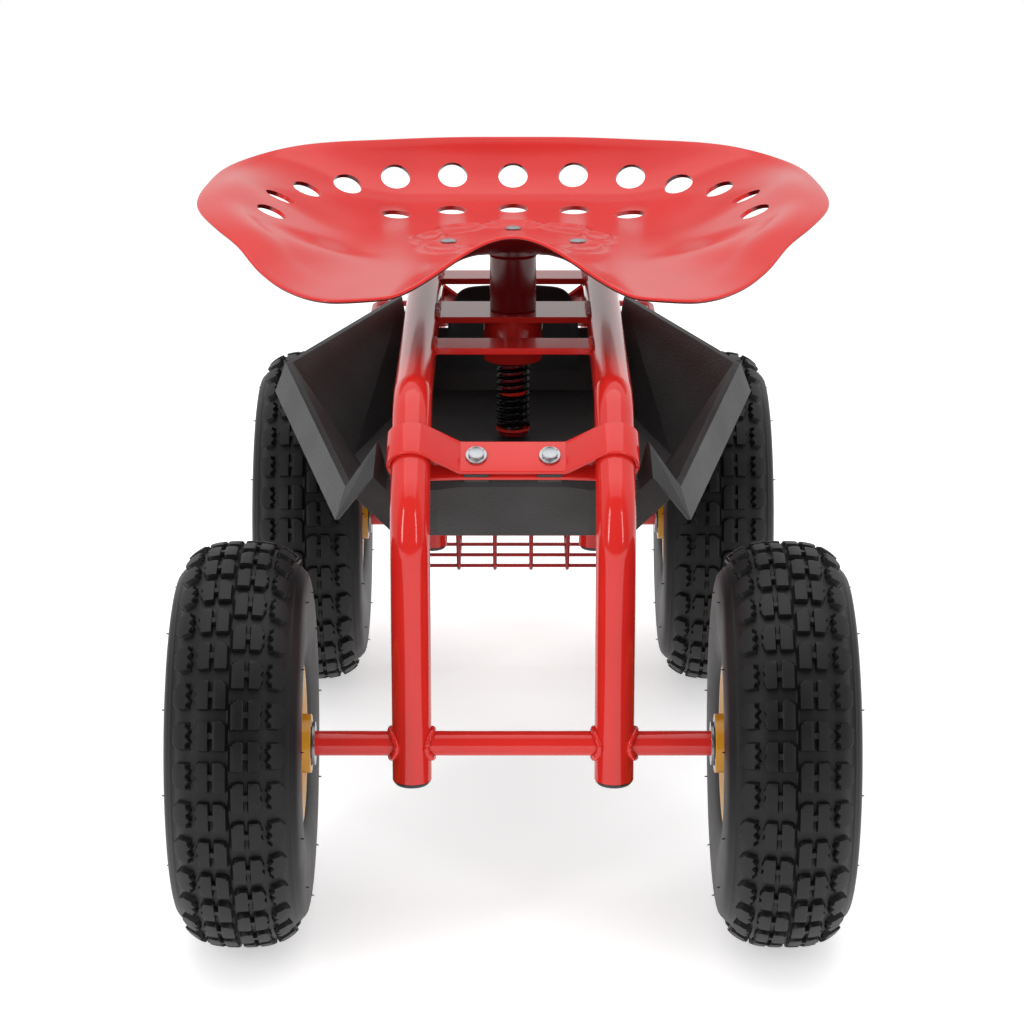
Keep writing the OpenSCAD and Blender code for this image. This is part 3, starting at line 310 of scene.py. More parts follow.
def rounded_path(corners: Sequence[Sequence[float]], radius: float, steps: int = 12, closed: bool = False) -> Points:
    """Joins corners by straight lines and rounds each corner by an arc that touches both its lines.

    Args:
        corners: The corners.
        radius: Radius of every arc.
        steps: Points on an arc.
        closed: Whether the last corner joins the first.

    Returns:
        Points along the path.
    """
    c = np.asarray(corners, dtype=float)
    n = len(c)
    out = [] if closed else [c[:1]]
    for k in range(n) if closed else range(1, n - 1):
        before, after = unit(c[k - 1] - c[k]), unit(c[(k + 1) % n] - c[k])
        half = 0.5 * math.acos(float(np.clip(before @ after, -1, 1)))
        reach = radius / math.tan(half)
        middle = c[k] + unit(before + after) * radius / math.sin(half)
        start, end = c[k] + before * reach - middle, c[k] + after * reach - middle
        turn = math.pi - 2 * half
        t = np.linspace(0, 1, steps)[:, None]
        out.append(middle + (np.sin((1 - t) * turn) * start + np.sin(t * turn) * end) / math.sin(turn))
    if not closed:
        out.append(c[-1:])
    return np.concatenate(out)


def spaced(path: Points, step: float, closed: bool = False) -> Points:
    """Adds points on the long straight lines of a path, so that none is longer than step.

    Args:
        path: Points of the path.
        step: Longest distance allowed between two points.
        closed: Whether the last point joins the first.

    Returns:
        The points of the path, with the added ones.
    """
    ends = np.concatenate([path[1:], path[:1]]) if closed else path[1:]
    starts = path if closed else path[:-1]
    pieces = [a + (b - a) * np.linspace(0, 1, max(2, int(np.linalg.norm(b - a) / step) + 1))[:-1, None]
              for a, b in zip(starts, ends)]
    return np.concatenate(pieces if closed else pieces + [path[-1:]])


class Axis(Enum):
    """Axis that a turned piece goes round."""

    X = ((1.0, 0.0, 0.0), (0.0, 1.0, 0.0), (0.0, 0.0, 1.0))
    Z = ((0.0, 0.0, 1.0), (1.0, 0.0, 0.0), (0.0, 1.0, 0.0))


def turned(profile: Sequence[Sequence[float]], centre: Sequence[float], axis: Axis, sides: int = 96,
           sign: float = 1.0) -> Points:
    """Turns a closed profile round an axis.

    Args:
        profile: Distance from the axis and place along it, point by point.
        centre: Point of the axis where the place along it is zero.
        axis: Direction of the axis.
        sides: Steps round the axis.
        sign: 1, or -1 to mirror the places along the axis.

    Returns:
        A grid whose rows go round the axis and whose columns follow the profile. Both close on themselves.
    """
    p = np.asarray(profile, dtype=float)
    along, first, second = (np.array(v) for v in axis.value)
    a = np.linspace(0, 2 * np.pi, sides, endpoint=False)[:, None, None]
    r, h = p[None, :, :1], sign * p[None, :, 1:]
    return np.asarray(centre) + r * (np.cos(a) * first + np.sin(a) * second) + h * along


def softened(profile: Sequence[Sequence[float]], radius: float, steps: int = 4) -> Points:
    """Rounds the corners of a closed profile, each by no more than its sides have room for.

    Args:
        profile: Points of the profile.
        radius: Radius wanted.
        steps: Points on each corner.

    Returns:
        Points of the rounded profile.
    """
    c = np.asarray(profile, dtype=float)
    out = []
    for k in range(len(c)):
        before, after = c[k - 1] - c[k], c[(k + 1) % len(c)] - c[k]
        room = min(np.linalg.norm(before), np.linalg.norm(after)) * 0.45
        before, after = unit(before), unit(after)
        half = 0.5 * math.acos(float(np.clip(before @ after, -1, 1)))
        reach = min(radius / math.tan(half), room)
        t = np.linspace(0, 1, steps)[:, None]
        start, end = c[k] + before * reach, c[k] + after * reach
        out.append((1 - t) ** 2 * start + 2 * t * (1 - t) * c[k] + t ** 2 * end)
    return np.concatenate(out)


# Finishes

def add_node(tree: bpy.types.NodeTree, kind: str, inputs: dict[str | int, object] | None = None,
             **settings: object) -> bpy.types.Node:
    """Adds one shader node.

    Args:
        tree: The material's node tree.
        kind: Blender's name for the node.
        inputs: Values, or other nodes' outputs, by the name or number of the input.
        **settings: The node's own settings.

    Returns:
        The node.
    """
    made = tree.nodes.new(kind)
    for key, value in settings.items():
        setattr(made, key, value)
    for key, value in (inputs or {}).items():
        if isinstance(value, bpy.types.NodeSocket):
            tree.links.new(value, made.inputs[key])
        else:
            made.inputs[key].default_value = value
    return made


def new_material(name: str) -> tuple[bpy.types.Material, bpy.types.NodeTree, bpy.types.NodeSocket]:
    """Starts a material.

    Args:
        name: The material's name.

    Returns:
        The material, its emptied node tree and the object's own coordinates, in metres.
    """
    material = bpy.data.materials.new(name)
    material.use_nodes = True
    tree = material.node_tree
    tree.nodes.clear()
    place = add_node(tree, "ShaderNodeTexCoord").outputs["Object"]
    return material, tree, place


def two_tone(tree: bpy.types.NodeTree, share: bpy.types.NodeSocket, first: str, second: str,
             start: float = 0.0, end: float = 1.0) -> bpy.types.NodeSocket:
    """Blends two colours.

    Args:
        tree: The material's node tree.
        share: The value that the blend follows.
        first: Colour where the value is at the start or below.
        second: Colour where the value is at the end or above.
        start: Value where the blend starts.
        end: Value where the blend ends.

    Returns:
        The blended colour.
    """
    ramp = add_node(tree, "ShaderNodeValToRGB", {"Fac": share})
    low, high = ramp.color_ramp.elements
    low.position, high.position = start, end
    low.color, high.color = linear(first), linear(second)
    return ramp.outputs["Color"]


def finish_material(tree: bpy.types.NodeTree, shader: bpy.types.Node) -> None:
    """Links a shader to the material's output."""
    add_node(tree, "ShaderNodeOutputMaterial", {"Surface": shader.outputs[0]})


def per_mm(size: float) -> float:
    """Returns a texture's scale for a pattern of a size in millimetres, on coordinates in metres."""
    return 1000.0 / size


@dataclass(frozen=True)
class Enamel:
    """Polyester powder coat, sprayed on steel and baked: a full colour with a smooth gloss, and a faint
    orange peel that waves the reflections. A darker colour can be painted on faces that look down, as painted shade."""

    name: str
    colour: str
    shade: str
    roughness: float = 0.12
    peel_mm: float = 3.5
    peel: float = 0.05
    # below: a darker colour painted on faces that look down, as painted shade.
    below: str = ""

    def build(self) -> bpy.types.Material:
        """Makes the material: colour that varies a little over 60 mm, and a bump of the peel's size.

        Where a colour below is given, it takes over on faces that look down, by the Z of their normal: painted shade on
        the underside.

        Returns:
            The material.
        """
        material, tree, place = new_material(self.name)
        broad = add_node(tree, "ShaderNodeTexNoise", {"Vector": place, "Scale": per_mm(60), "Detail": 2.0})
        base = two_tone(tree, broad.outputs["Fac"], self.shade, self.colour, 0.3, 0.7)
        peel = add_node(tree, "ShaderNodeTexNoise", {"Vector": place, "Scale": per_mm(self.peel_mm), "Detail": 1.0})
        bump = add_node(tree, "ShaderNodeBump", {"Height": peel.outputs["Fac"], "Strength": self.peel,
                                                 "Distance": 0.0004})
        # Painted shade: faces whose normal points down take the darker colour below.
        if self.below:
            normal = add_node(tree, "ShaderNodeNewGeometry").outputs["Normal"]
            facing = add_node(tree, "ShaderNodeSeparateXYZ", {0: normal})
            down = add_node(tree, "ShaderNodeMapRange", {
                "Value": facing.outputs["Z"], "From Min": 0.05, "From Max": -0.15})
            base = add_node(tree, "ShaderNodeMix", {0: down.outputs[0], 6: base, 7: linear(self.below)},
                            data_type="RGBA").outputs[2]
        shader = add_node(tree, "ShaderNodeBsdfPrincipled", {
            "Base Color": base, "Roughness": self.roughness, "Normal": bump.outputs["Normal"]})
        finish_material(tree, shader)
        return material


@dataclass(frozen=True)
class MouldedPolypropylene:
    """Polypropylene, injection moulded in a mould with a fine etched grain: dull, dark, and a little lighter
    where it has been rubbed."""

    name: str
    colour: str = "#262627"
    rubbed: str = "#323233"
    grain_mm: float = 1.6
    roughness: float = 0.46

    def build(self) -> bpy.types.Material:
        """Makes the material: a cellular grain as bump, and broad soft marks in colour and roughness.

        Returns:
            The material.
        """
        material, tree, place = new_material(self.name)
        grain = add_node(tree, "ShaderNodeTexNoise", {"Vector": place, "Scale": per_mm(self.grain_mm), "Detail": 3.0,
                                                      "Roughness": 0.6})
        cells = add_node(tree, "ShaderNodeTexVoronoi", {"Vector": place, "Scale": per_mm(self.grain_mm * 1.3)})
        both = add_node(tree, "ShaderNodeMath", {0: grain.outputs["Fac"], 1: cells.outputs["Distance"]},
                        operation="ADD")
        bump = add_node(tree, "ShaderNodeBump", {"Height": both.outputs[0], "Strength": 0.35, "Distance": 0.0004})
        marks = add_node(tree, "ShaderNodeTexNoise", {"Vector": place, "Scale": per_mm(45), "Detail": 5.0})
        colour = two_tone(tree, marks.outputs["Fac"], self.colour, self.rubbed, 0.4, 0.75)
        rough = add_node(tree, "ShaderNodeMapRange", {"Value": marks.outputs["Fac"], "To Min": self.roughness + 0.08,
                                                      "To Max": self.roughness - 0.06})
        shader = add_node(tree, "ShaderNodeBsdfPrincipled", {
            "Base Color": colour, "Roughness": rough.outputs[0], "Normal": bump.outputs["Normal"]})
        finish_material(tree, shader)
        return material


@dataclass(frozen=True)
class VulcanisedRubber:
    """Natural rubber with carbon black, vulcanised in a steel mould: near black, with a soft satin sheen
    and a little grey bloom."""

    name: str
    colour: str = "#0c0c0d"
    bloom: str = "#141416"
    roughness: float = 0.46
    sheen: float = 0.32

    def build(self) -> bpy.types.Material:
        """Makes the material: bloom in patches of 25 mm, and the mould's fine tool marks as bump.

        Returns:
            The material.
        """
        material, tree, place = new_material(self.name)
        patches = add_node(tree, "ShaderNodeTexNoise", {"Vector": place, "Scale": per_mm(25), "Detail": 6.0,
                                                        "Roughness": 0.65})
        colour = two_tone(tree, patches.outputs["Fac"], self.colour, self.bloom, 0.42, 0.7)
        marks = add_node(tree, "ShaderNodeTexNoise", {"Vector": place, "Scale": per_mm(1.2), "Detail": 4.0})
        bump = add_node(tree, "ShaderNodeBump", {"Height": marks.outputs["Fac"], "Strength": 0.25, "Distance": 0.0003})
        rough = add_node(tree, "ShaderNodeMapRange", {"Value": patches.outputs["Fac"], "To Min": self.roughness - 0.08,
                                                      "To Max": self.roughness + 0.15})
        shader = add_node(tree, "ShaderNodeBsdfPrincipled", {
            "Base Color": colour, "Roughness": rough.outputs[0], "Specular IOR Level": self.sheen,
            "Normal": bump.outputs["Normal"]})
        finish_material(tree, shader)
        return material


@dataclass(frozen=True)
class PlatedSteel:
    """Steel with a bright zinc plate, or with an oiled black finish: metallic, with a fine brushed grain."""

    name: str
    colour: str
    shade: str
    roughness: float = 0.26

    def build(self) -> bpy.types.Material:
        """Makes the material: mottled colour and roughness at 4 mm, as plating has.

        Returns:
            The material.
        """
        material, tree, place = new_material(self.name)
        mottle = add_node(tree, "ShaderNodeTexNoise", {"Vector": place, "Scale": per_mm(4), "Detail": 4.0})
        colour = two_tone(tree, mottle.outputs["Fac"], self.shade, self.colour)
        rough = add_node(tree, "ShaderNodeMapRange", {"Value": mottle.outputs["Fac"], "To Min": self.roughness - 0.06,
                                                      "To Max": self.roughness + 0.12})
        shader = add_node(tree, "ShaderNodeBsdfPrincipled", {
            "Base Color": colour, "Metallic": 1.0, "Roughness": rough.outputs[0]})
        finish_material(tree, shader)
        return material


@dataclass(frozen=True)
class ScrewFinish:
    """The post screw: red enamel above, where the sleeve covers it, and oiled black steel below."""

    name: str
    split_z: float
    upper: str
    lower: str

    def build(self) -> bpy.types.Material:
        """Makes the material: its colour changes at one height.

        Returns:
            The material.
        """
        material, tree, place = new_material(self.name)
        height = add_node(tree, "ShaderNodeSeparateXYZ", {0: place}).outputs["Z"]
        above = add_node(tree, "ShaderNodeMath", {0: height, 1: self.split_z}, operation="GREATER_THAN")
        colour = add_node(tree, "ShaderNodeMix", {0: above.outputs[0], 6: linear(self.lower), 7: linear(self.upper)},
                          data_type="RGBA")
        grime = add_node(tree, "ShaderNodeTexNoise", {"Vector": place, "Scale": per_mm(3), "Detail": 3.0})
        rough = add_node(tree, "ShaderNodeMapRange", {"Value": grime.outputs["Fac"], "To Min": 0.25, "To Max": 0.5})
        shader = add_node(tree, "ShaderNodeBsdfPrincipled", {
            "Base Color": colour.outputs[2], "Roughness": rough.outputs[0], "Coat Weight": 0.4})
        finish_material(tree, shader)
        return material


@dataclass(frozen=True)
class StudioSheet:
    """White translucent sheet under the seat, lit from below as well, which keeps the shadows pale."""

    name: str = "studio_sheet"
    colour: str = "#f0f0f0"
    fibre: str = "#eeeeee"
    glow: float = 0.5

    def build(self) -> bpy.types.Material:
        """Makes the material: matt white with a very faint fibre, and the light that comes through it.

        Returns:
            The material.
        """
        material, tree, place = new_material(self.name)
        fibre = add_node(tree, "ShaderNodeTexNoise", {"Vector": place, "Scale": per_mm(8), "Detail": 3.0})
        colour = add_node(tree, "ShaderNodeMix", {
            0: fibre.outputs["Fac"], 6: linear(self.fibre), 7: linear(self.colour)}, data_type="RGBA")
        shader = add_node(tree, "ShaderNodeBsdfPrincipled", {
            "Base Color": colour.outputs[2], "Roughness": 0.85, "Emission Color": (1.0, 1.0, 1.0, 1.0),
            "Emission Strength": self.glow})
        finish_material(tree, shader)
        return material


class Finishes:
    """Every finish of the seat, made once and shared."""

    def __init__(self) -> None:
        """Builds the materials."""
        self.red = Enamel("red_enamel", "#d62a24", "#cd241f").build()
        # The pan's enamel paints shade on its underside with a dark red below.
        self.pan_red_painted_shade = Enamel("pan_red_enamel_painted_shade", "#d62a26", "#cf2622", roughness=0.2, below="#4e0808").build()
        # Painted shade: a darker copy of the red enamel for the post, bracket and end nut, which sit in shade under the
        # seat.
        self.under_seat_red_painted_shade = Enamel("under_seat_red_enamel_painted_shade", "#760c12", "#68090f", roughness=0.22).build()
        self.wire_red = Enamel("wire_red_enamel", "#a8161a", "#961116", roughness=0.25, peel_mm=2.0).build()
        self.yellow = Enamel("yellow_enamel", "#cf9410", "#c3880d", roughness=0.25).build()
        self.zinc = PlatedSteel("bright_zinc", "#b6b9bc", "#94989c").build()
        self.black_steel = PlatedSteel("oiled_spring_steel", "#1a1a1c", "#101011", roughness=0.3).build()
        self.tray = MouldedPolypropylene("grained_polypropylene").build()
        self.plug = MouldedPolypropylene("plug_polyethylene", "#1b1b1c", "#252526", grain_mm=2.2, roughness=0.4).build()
        self.rubber = VulcanisedRubber("tyre_rubber").build()
        self.tube_rubber = VulcanisedRubber("inner_tube_rubber", "#141415", "#1d1d1e", roughness=0.42).build()
        self.screw = ScrewFinish("screw_finish", 0.2826, "#7d1016", "#141416").build()
        self.sheet = StudioSheet().build()


@dataclass
class Dresser:
    """Puts a finish on a piece, sets it on its body and reports it."""

    finishes: Finishes

    def dress(self, piece: bpy.types.Object, material: bpy.types.Material, body: str,
              nodes: Sequence[str] = ()) -> bpy.types.Object:
        """Finishes one piece.

        Args:
            piece: The object.
            material: Its finish.
            body: The body that it rides on.
            nodes: The model's nodes that it stands for.

        Returns:
            The piece.
        """
        piece.data.materials.clear()
        piece.data.materials.append(material)
        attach(piece, body)
        if nodes:
            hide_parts(*nodes)
        stands_for = ", ".join(nodes) or "detail"
        log.info("%s: %d faces, on %s, for %s", piece.name, len(piece.data.polygons), body, stands_for)
        return piece

    def edge_softened(self, node: str, name: str, width: float, segments: int = 3,
                      flat_deg: float = 1.0, edge_deg: float = 30.0) -> bpy.types.Object:
        """Copies a node's solid, merges its loose triangles and rounds its edges.

        Args:
            node: The node.
            name: The copy's name.
            width: Width of the rounding.
            segments: Steps of the rounding.
            flat_deg: Faces that turn less than this become one.
            edge_deg: Edges that turn more than this are rounded.

        Returns:
            The copy.
        """
        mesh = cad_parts[node].data.copy()
        mesh.name = name
        work = bmesh.new()
        work.from_mesh(mesh)
        bmesh.ops.remove_doubles(work, verts=work.verts, dist=1e-6)
        bmesh.ops.dissolve_limit(work, angle_limit=math.radians(flat_deg), verts=work.verts, edges=work.edges)
        work.to_mesh(mesh)
        work.free()
        mesh.shade_smooth()
        mesh.set_sharp_from_angle(angle=math.radians(edge_deg))
        piece = bpy.data.objects.new(name, mesh)
        bpy.context.scene.collection.objects.link(piece)
        if width:
            bevel = piece.modifiers.new("soft_edges", "BEVEL")
            bevel.width, bevel.segments, bevel.limit_method = width, segments, "ANGLE"
            bevel.angle_limit = math.radians(edge_deg)
            bevel.harden_normals = False
            bevel.use_clamp_overlap = True
        return piece


# Frame

@dataclass
class FrameTubes:
    """The two bent tubes, their plugs, both axles and their weld beads."""

    bend_r: float = 0.050
    corner_z: float = 0.2806
    shoulder_y: float = 0.07653
    axle_r: float = 0.008
    axle_half: dict[Row, float] = field(default_factory=lambda: {Row.FRONT: 0.218, Row.REAR: 0.2035})
    plug_h: float = 0.003
    bead_r: float = 0.0021

    def tube(self, x: float) -> Points:
        """Carries a circle along the arch: leg, shoulder, rail, shoulder and leg.

        Args:
            x: Place of the tube across the seat.

        Returns:
            A grid with one row for each point of the path.
        """
        s = LAYOUT
        corners = [(x, s.front_y, s.leg_z), (x, s.front_y, self.corner_z),
                   (x, s.front_y + self.shoulder_y, s.rail_z), (x, s.rear_y - self.shoulder_y, s.rail_z),
                   (x, s.rear_y, self.corner_z), (x, s.rear_y, s.leg_z)]
        path = spaced(rounded_path(corners, self.bend_r, steps=20), 0.02)
        return carry(path, circle(s.tube_r, 56), np.array([1.0, 0, 0]))

    def plug(self, x: float, y: float) -> Points:
        """Turns the plug's domed end and its stem round the leg's axis.

        Args:
            x: Place across the seat.
            y: Place along the seat.

        Returns:
            A grid of rings.
        """
        r, z = LAYOUT.tube_r, LAYOUT.leg_z
        profile = [(0.0, z - self.plug_h), (r - 0.002, z - self.plug_h), (r - 0.0006, z - self.plug_h * 0.4),
                   (r - 0.0006, z - 0.0001), (r - 0.002, z - 0.00005), (r - 0.002, z + 0.009), (0.0, z + 0.009)]
        return carry(np.array([[x, y, p[1]] for p in profile]), np.stack(
            [circle(max(p[0], 1e-5), 40) for p in profile]), np.array([0, 1.0, 0]))

    def axle(self, row: Row) -> Points:
        """Carries a circle along the axle, with a chamfer at both ends.

        Args:
            row: The front or the rear axle.

        Returns:
            A grid of rings.
        """
        half, y, z = self.axle_half[row], LAYOUT.row_y(row), LAYOUT.axle_z
        x = np.array([-half, -half + 0.0008, -half * 0.5, 0, half * 0.5, half - 0.0008, half])
        r = np.array([self.axle_r - 0.0008] + [self.axle_r] * 5 + [self.axle_r - 0.0008])
        path = np.stack([x, np.full_like(x, y), np.full_like(x, z)], axis=1)
        return carry(path, np.stack([circle(v, 48) for v in r]), np.array([0, 0, 1.0]))

    def axle_bead(self, x: float, y: float, side: int, phase: float) -> Points:
        """Carries a rippled circle round the saddle curve where the axle meets a leg.

        The curve goes round the axle at a small distance, and its X is where the leg's surface is: the root of
        the leg's radius squared less Y squared. The bead's radius swells 14 times a turn, as a stitched weld does.

        Args:
            x: Place of the leg across the seat.
            y: Place of the leg along the seat.
            side: 1 for the side of the leg towards positive X, -1 for the other.
            phase: Where the ripples start, in radians.

        Returns:
            A grid that closes on itself.
        """
        a = np.linspace(0, 2 * np.pi, 168, endpoint=False)
        rho = self.axle_r + 0.0011
        yy, zz = rho * np.cos(a), rho * np.sin(a)
        xx = np.sqrt(LAYOUT.tube_r ** 2 - yy ** 2) + 0.0006
        path = np.stack([x + side * xx, y + yy, LAYOUT.axle_z + zz], axis=1)
        swell = self.bead_r * (1 + 0.14 * np.abs(np.sin(7 * a + phase)) + 0.05 * np.sin(3 * a + 2 * phase))
        profile = circle(1.0, 12)[None] * swell[:, None, None]
        return carry(path, profile, np.array([1.0, 0, 0]), closed=True)

    def build(self, dresser: Dresser) -> None:
        """Makes and dresses the tubes, plugs, axles and beads.

        Args:
            dresser: What finishes each piece and sets it on its body.
        """
        red = dresser.finishes.red
        for side in Side:
            x = side.value * LAYOUT.tube_x
            node = f"{side.name.lower()}_tube"
            dresser.dress(Shell().add_grid(self.tube(x)).build(f"{node}_skin"), red, "frame", [node])
        plugs, beads = Shell(), Shell()
        for k, (x, y) in enumerate((x, y) for x in (-LAYOUT.tube_x, LAYOUT.tube_x)
                                   for y in (LAYOUT.front_y, LAYOUT.rear_y)):
            plugs.add_grid(self.plug(x, y))
            for side in (-1, 1):
                beads.add_grid(self.axle_bead(x, y, side, 1.7 * k + side), wrap_rows=True)
        dresser.dress(plugs.build("leg_plugs"), dresser.finishes.plug, "frame", ["tube_plugs"])
        dresser.dress(beads.build("axle_welds", 60), red, "frame", ["weld_beads"])
        for row in Row:
            dresser.dress(Shell().add_grid(self.axle(row)).build(f"{row.value}_axle_rod"), red, "frame",
                          [f"{row.value}_axle"])


@dataclass
class CrossPlates:
    """The three plates between the rails with their weld seams, and the collar under the seat plate."""

    middles: dict[str, float] = field(default_factory=lambda: {
        "front_plate": 0.01035 - 0.104, "seat_plate": 0.01035, "rear_plate": 0.01035 + 0.116})
    widths: dict[str, float] = field(default_factory=lambda: {
        "front_plate": 0.031, "seat_plate": 0.051, "rear_plate": 0.030})
    seam_x: float = 0.0535
    seam_r: float = 0.0020

    def seam(self, y: float, width: float, side: int, z: float, phase: float) -> Points:
        """Carries a rippled circle along a plate's end: its radius swells every 3 mm, and it tapers at both ends.

        Args:
            y: Middle of the plate along the seat.
            width: The plate's width.
            side: 1 for the end towards positive X, -1 for the other.
            z: Height of the bead.
            phase: Where the ripples start, in radians.

        Returns:
            A grid with one row for each point of the bead.
        """
        t = np.linspace(-0.5, 0.5, 90)
        length = width + 0.004
        path = np.stack([np.full_like(t, side * self.seam_x) + 0.0003 * np.sin(t * length * 900 + phase),
                         y + t * length, np.full_like(t, z) + 0.0002 * np.sin(t * length * 1500 + phase)], axis=1)
        swell = self.seam_r * (0.8 + 0.35 * np.abs(np.sin(t * length * 1050 + phase))) * np.sqrt(1.02 - (2 * t) ** 6)
        return carry(path, circle(1.0, 12)[None] * swell[:, None, None], np.array([0, 0, 1.0]))

    def build(self, dresser: Dresser) -> None:
        """Makes and dresses the plates, seams and collar.

        Args:
            dresser: What finishes each piece and sets it on its body.
        """
        red = dresser.finishes.red
        seams = Shell()
        for k, (node, y) in enumerate(self.middles.items()):
            plate = dresser.edge_softened(node, f"{node}_pressing", 0.0007)
            dresser.dress(plate, red, "frame", [node])
            for side in (-1, 1):
                seams.add_grid(self.seam(y, self.widths[node], side, LAYOUT.plate_top - 0.0006, k + side))
                seams.add_grid(self.seam(y, self.widths[node], side, LAYOUT.plate_bottom + 0.0002, k * 2 + side))
        dresser.dress(seams.build("plate_welds", 60), red, "frame")
        low, high = LAYOUT.plate_bottom - 0.032, LAYOUT.plate_bottom
        profile = softened([(0.00805, low), (0.0205, low), (0.021, low + 0.0015), (0.021, high - 0.0004),
                            (0.00805, high - 0.0002)], 0.0008)
        collar = Shell().add_grid(turned(profile, (0, LAYOUT.post_y, 0), Axis.Z), wrap_rows=True)
        dresser.dress(collar.build("screw_collar"), red, "frame", ["collar"])


def hex_head(d: float, flange: float, seat: Sequence[float], normal: Points) -> Points:
    """Makes a flanged hexagon head as rings of points.

    At each height the radius is the lesser of a hexagon's (its flat's distance over the cosine of the angle
    from the flat's middle) and that of the chamfer cone. The top is dished.

    Args:
        d: Diameter of the thread.
        flange: Diameter of the flange.
        seat: Point on the seat, in the middle of the head.
        normal: Direction from the seat to the top.

    Returns:
        A grid with one row for each ring.
    """
    a = np.linspace(0, 2 * np.pi, 72, endpoint=False)
    flat = 0.825 * d
    six = flat / np.cos(np.mod(a, np.pi / 3) - np.pi / 6)
    rows = [(0.0001, flange / 2 - 0.0002), (0.0005, flange / 2), (0.0011, flange / 2 - 0.0001),
            (0.0019, 1.35 * flat), (0.0022, 1.2 * flat), (0.0024, 1.16 * flat), (0.7 * d - 0.0006, 1.16 * flat),
            (0.7 * d - 0.0001, 1.0 * flat), (0.7 * d, 0.93 * flat), (0.7 * d - 0.0004, 0.72 * flat),
            (0.7 * d - 0.0006, 0.2 * flat)]
    up = unit(normal)
    first = unit(np.cross(up, np.array([1.0, 0, 0]) if abs(up[0]) < 0.9 else np.array([0, 1.0, 0])))
    rays = np.cos(a)[:, None] * first + np.sin(a)[:, None] * np.cross(up, first)
    flange_top = 0.00205
    rings = []
    for height, cap in rows:
        r = np.full_like(a, cap) if height < flange_top else np.minimum(six, cap)
        rings.append(np.asarray(seat) + height * up + r[:, None] * rays)
    return np.stack(rings)


@dataclass
class Clamps:
    """The bent strips round both tubes, with the flanged bolts that close them."""

    strap_w: float = 0.025
    strap_t: float = 0.003
    flat_half: float = 0.034
    middle_y: float = 0.0424
    middle_z: float = 0.3124
    outer_face: float = -0.005
    back_face: float = -0.01404
    bolt_x: float = 0.0235
    bolt_d: float = 0.006
    bolt_flange: float = 0.0138
    slope: tuple[float, float] = (0.8, 0.6)

    def place(self, points: Points, row: Row) -> Points:
        """Moves points from a clamp's own frame, X across, Y up the slope, Z out of the tubes, to its shoulder.

        Args:
            points: Points in the clamp's own frame.
            row: The front or the rear clamp.

        Returns:
            The points in the part's frame.
        """
        run, climb = self.slope
        x, y, z = points[..., 0], points[..., 1], points[..., 2]
        along = run * y - climb * z + self.middle_y
        height = climb * y + run * z + self.middle_z
        where = LAYOUT.front_y + along if row is Row.FRONT else LAYOUT.rear_y - along
        return np.stack([x, where, height], axis=-1)

    def strap(self, face: float, below: bool) -> Points:
        """Carries a flat strip along its middle line: round one tube, down to the flat, and up round the other.

        The line leaves the circle round a tube where it is tangent to the slant, and both bends at the flat
        have a 5 mm radius.

        Args:
            face: Height of the flat's outer face in the clamp's own frame.
            below: Whether the strip is the half behind the tubes.

        Returns:
            A grid with one row for each point of the middle line.
        """
        ring = LAYOUT.tube_r + 0.00005 + self.strap_t / 2
        gap = LAYOUT.tube_x - self.flat_half
        slant = math.atan2(-face, gap) + math.asin((ring + self.strap_t / 2 - 0.0004) / math.hypot(gap, face))
        a = np.linspace(math.asin(0.0005 / ring), math.pi / 2 + slant, 40)
        arc = np.stack([LAYOUT.tube_x + ring * np.cos(a), ring * np.sin(a)], axis=1)
        level = face - self.strap_t / 2
        corner_x = arc[-1, 0] - (arc[-1, 1] - level) / math.tan(max(slant, 0.03)) if slant > 0.1 else self.flat_half
        corners = [(arc[-1, 0], 0, arc[-1, 1]), (corner_x, 0, level), (-corner_x, 0, level),
                   (-arc[-1, 0], 0, arc[-1, 1])]
        middle = spaced(rounded_path(corners, 0.005, steps=8), 0.006)
        right = np.stack([arc[:, 0], np.zeros(len(a)), arc[:, 1]], axis=1)
        left = right[::-1] * np.array([-1.0, 1, 1])
        path = np.concatenate([right, middle[1:-1], left])
        if below:
            path = path * np.array([1.0, 1, -1])
        return carry(path, rounded_box(self.strap_t, self.strap_w, 0.0009), np.array([0, 1.0, 0]))

    def build(self, dresser: Dresser) -> None:
        """Makes and dresses both clamps.

        Args:
            dresser: What finishes each piece and sets it on its body.
        """
        heads = Shell()
        for row in Row:
            for part, face, below in (("outer", self.outer_face, False), ("inner", -self.back_face, True)):
                grid = self.place(self.strap(face, below), row)
                name = f"{row.value}_clamp_{part}"
                dresser.dress(Shell().add_grid(grid).build(f"{name}_strap"), dresser.finishes.red, "frame",
                              [name])
            origin = self.place(np.zeros(3), row)
            up = self.place(np.array([0, 0, 1.0]), row) - origin
            for x in (-self.bolt_x, self.bolt_x):
                seat = self.place(np.array([x, 0, self.outer_face]), row)
                heads.add_grid(hex_head(self.bolt_d, self.bolt_flange, seat, up))
                shank = self.place(np.array([[x, 0, z] for z in (self.outer_face, -0.0170, -0.0256)]), row)
                heads.add_grid(carry(shank, circle(self.bolt_d / 2, 24), np.array([1.0, 0, 0])))
        dresser.dress(heads.build("clamp_bolt_heads"), dresser.finishes.zinc, "frame", ["clamp_bolts"])
        dresser.dress(dresser.edge_softened("clamp_nuts", "clamp_hex_nuts", 0.0004), dresser.finishes.zinc, "frame",
                      ["clamp_nuts"])
        dresser.dress(dresser.edge_softened("clamp_pads", "clamp_rubber_pads", 0.0005), dresser.finishes.plug, "frame",
                      ["clamp_pads"])


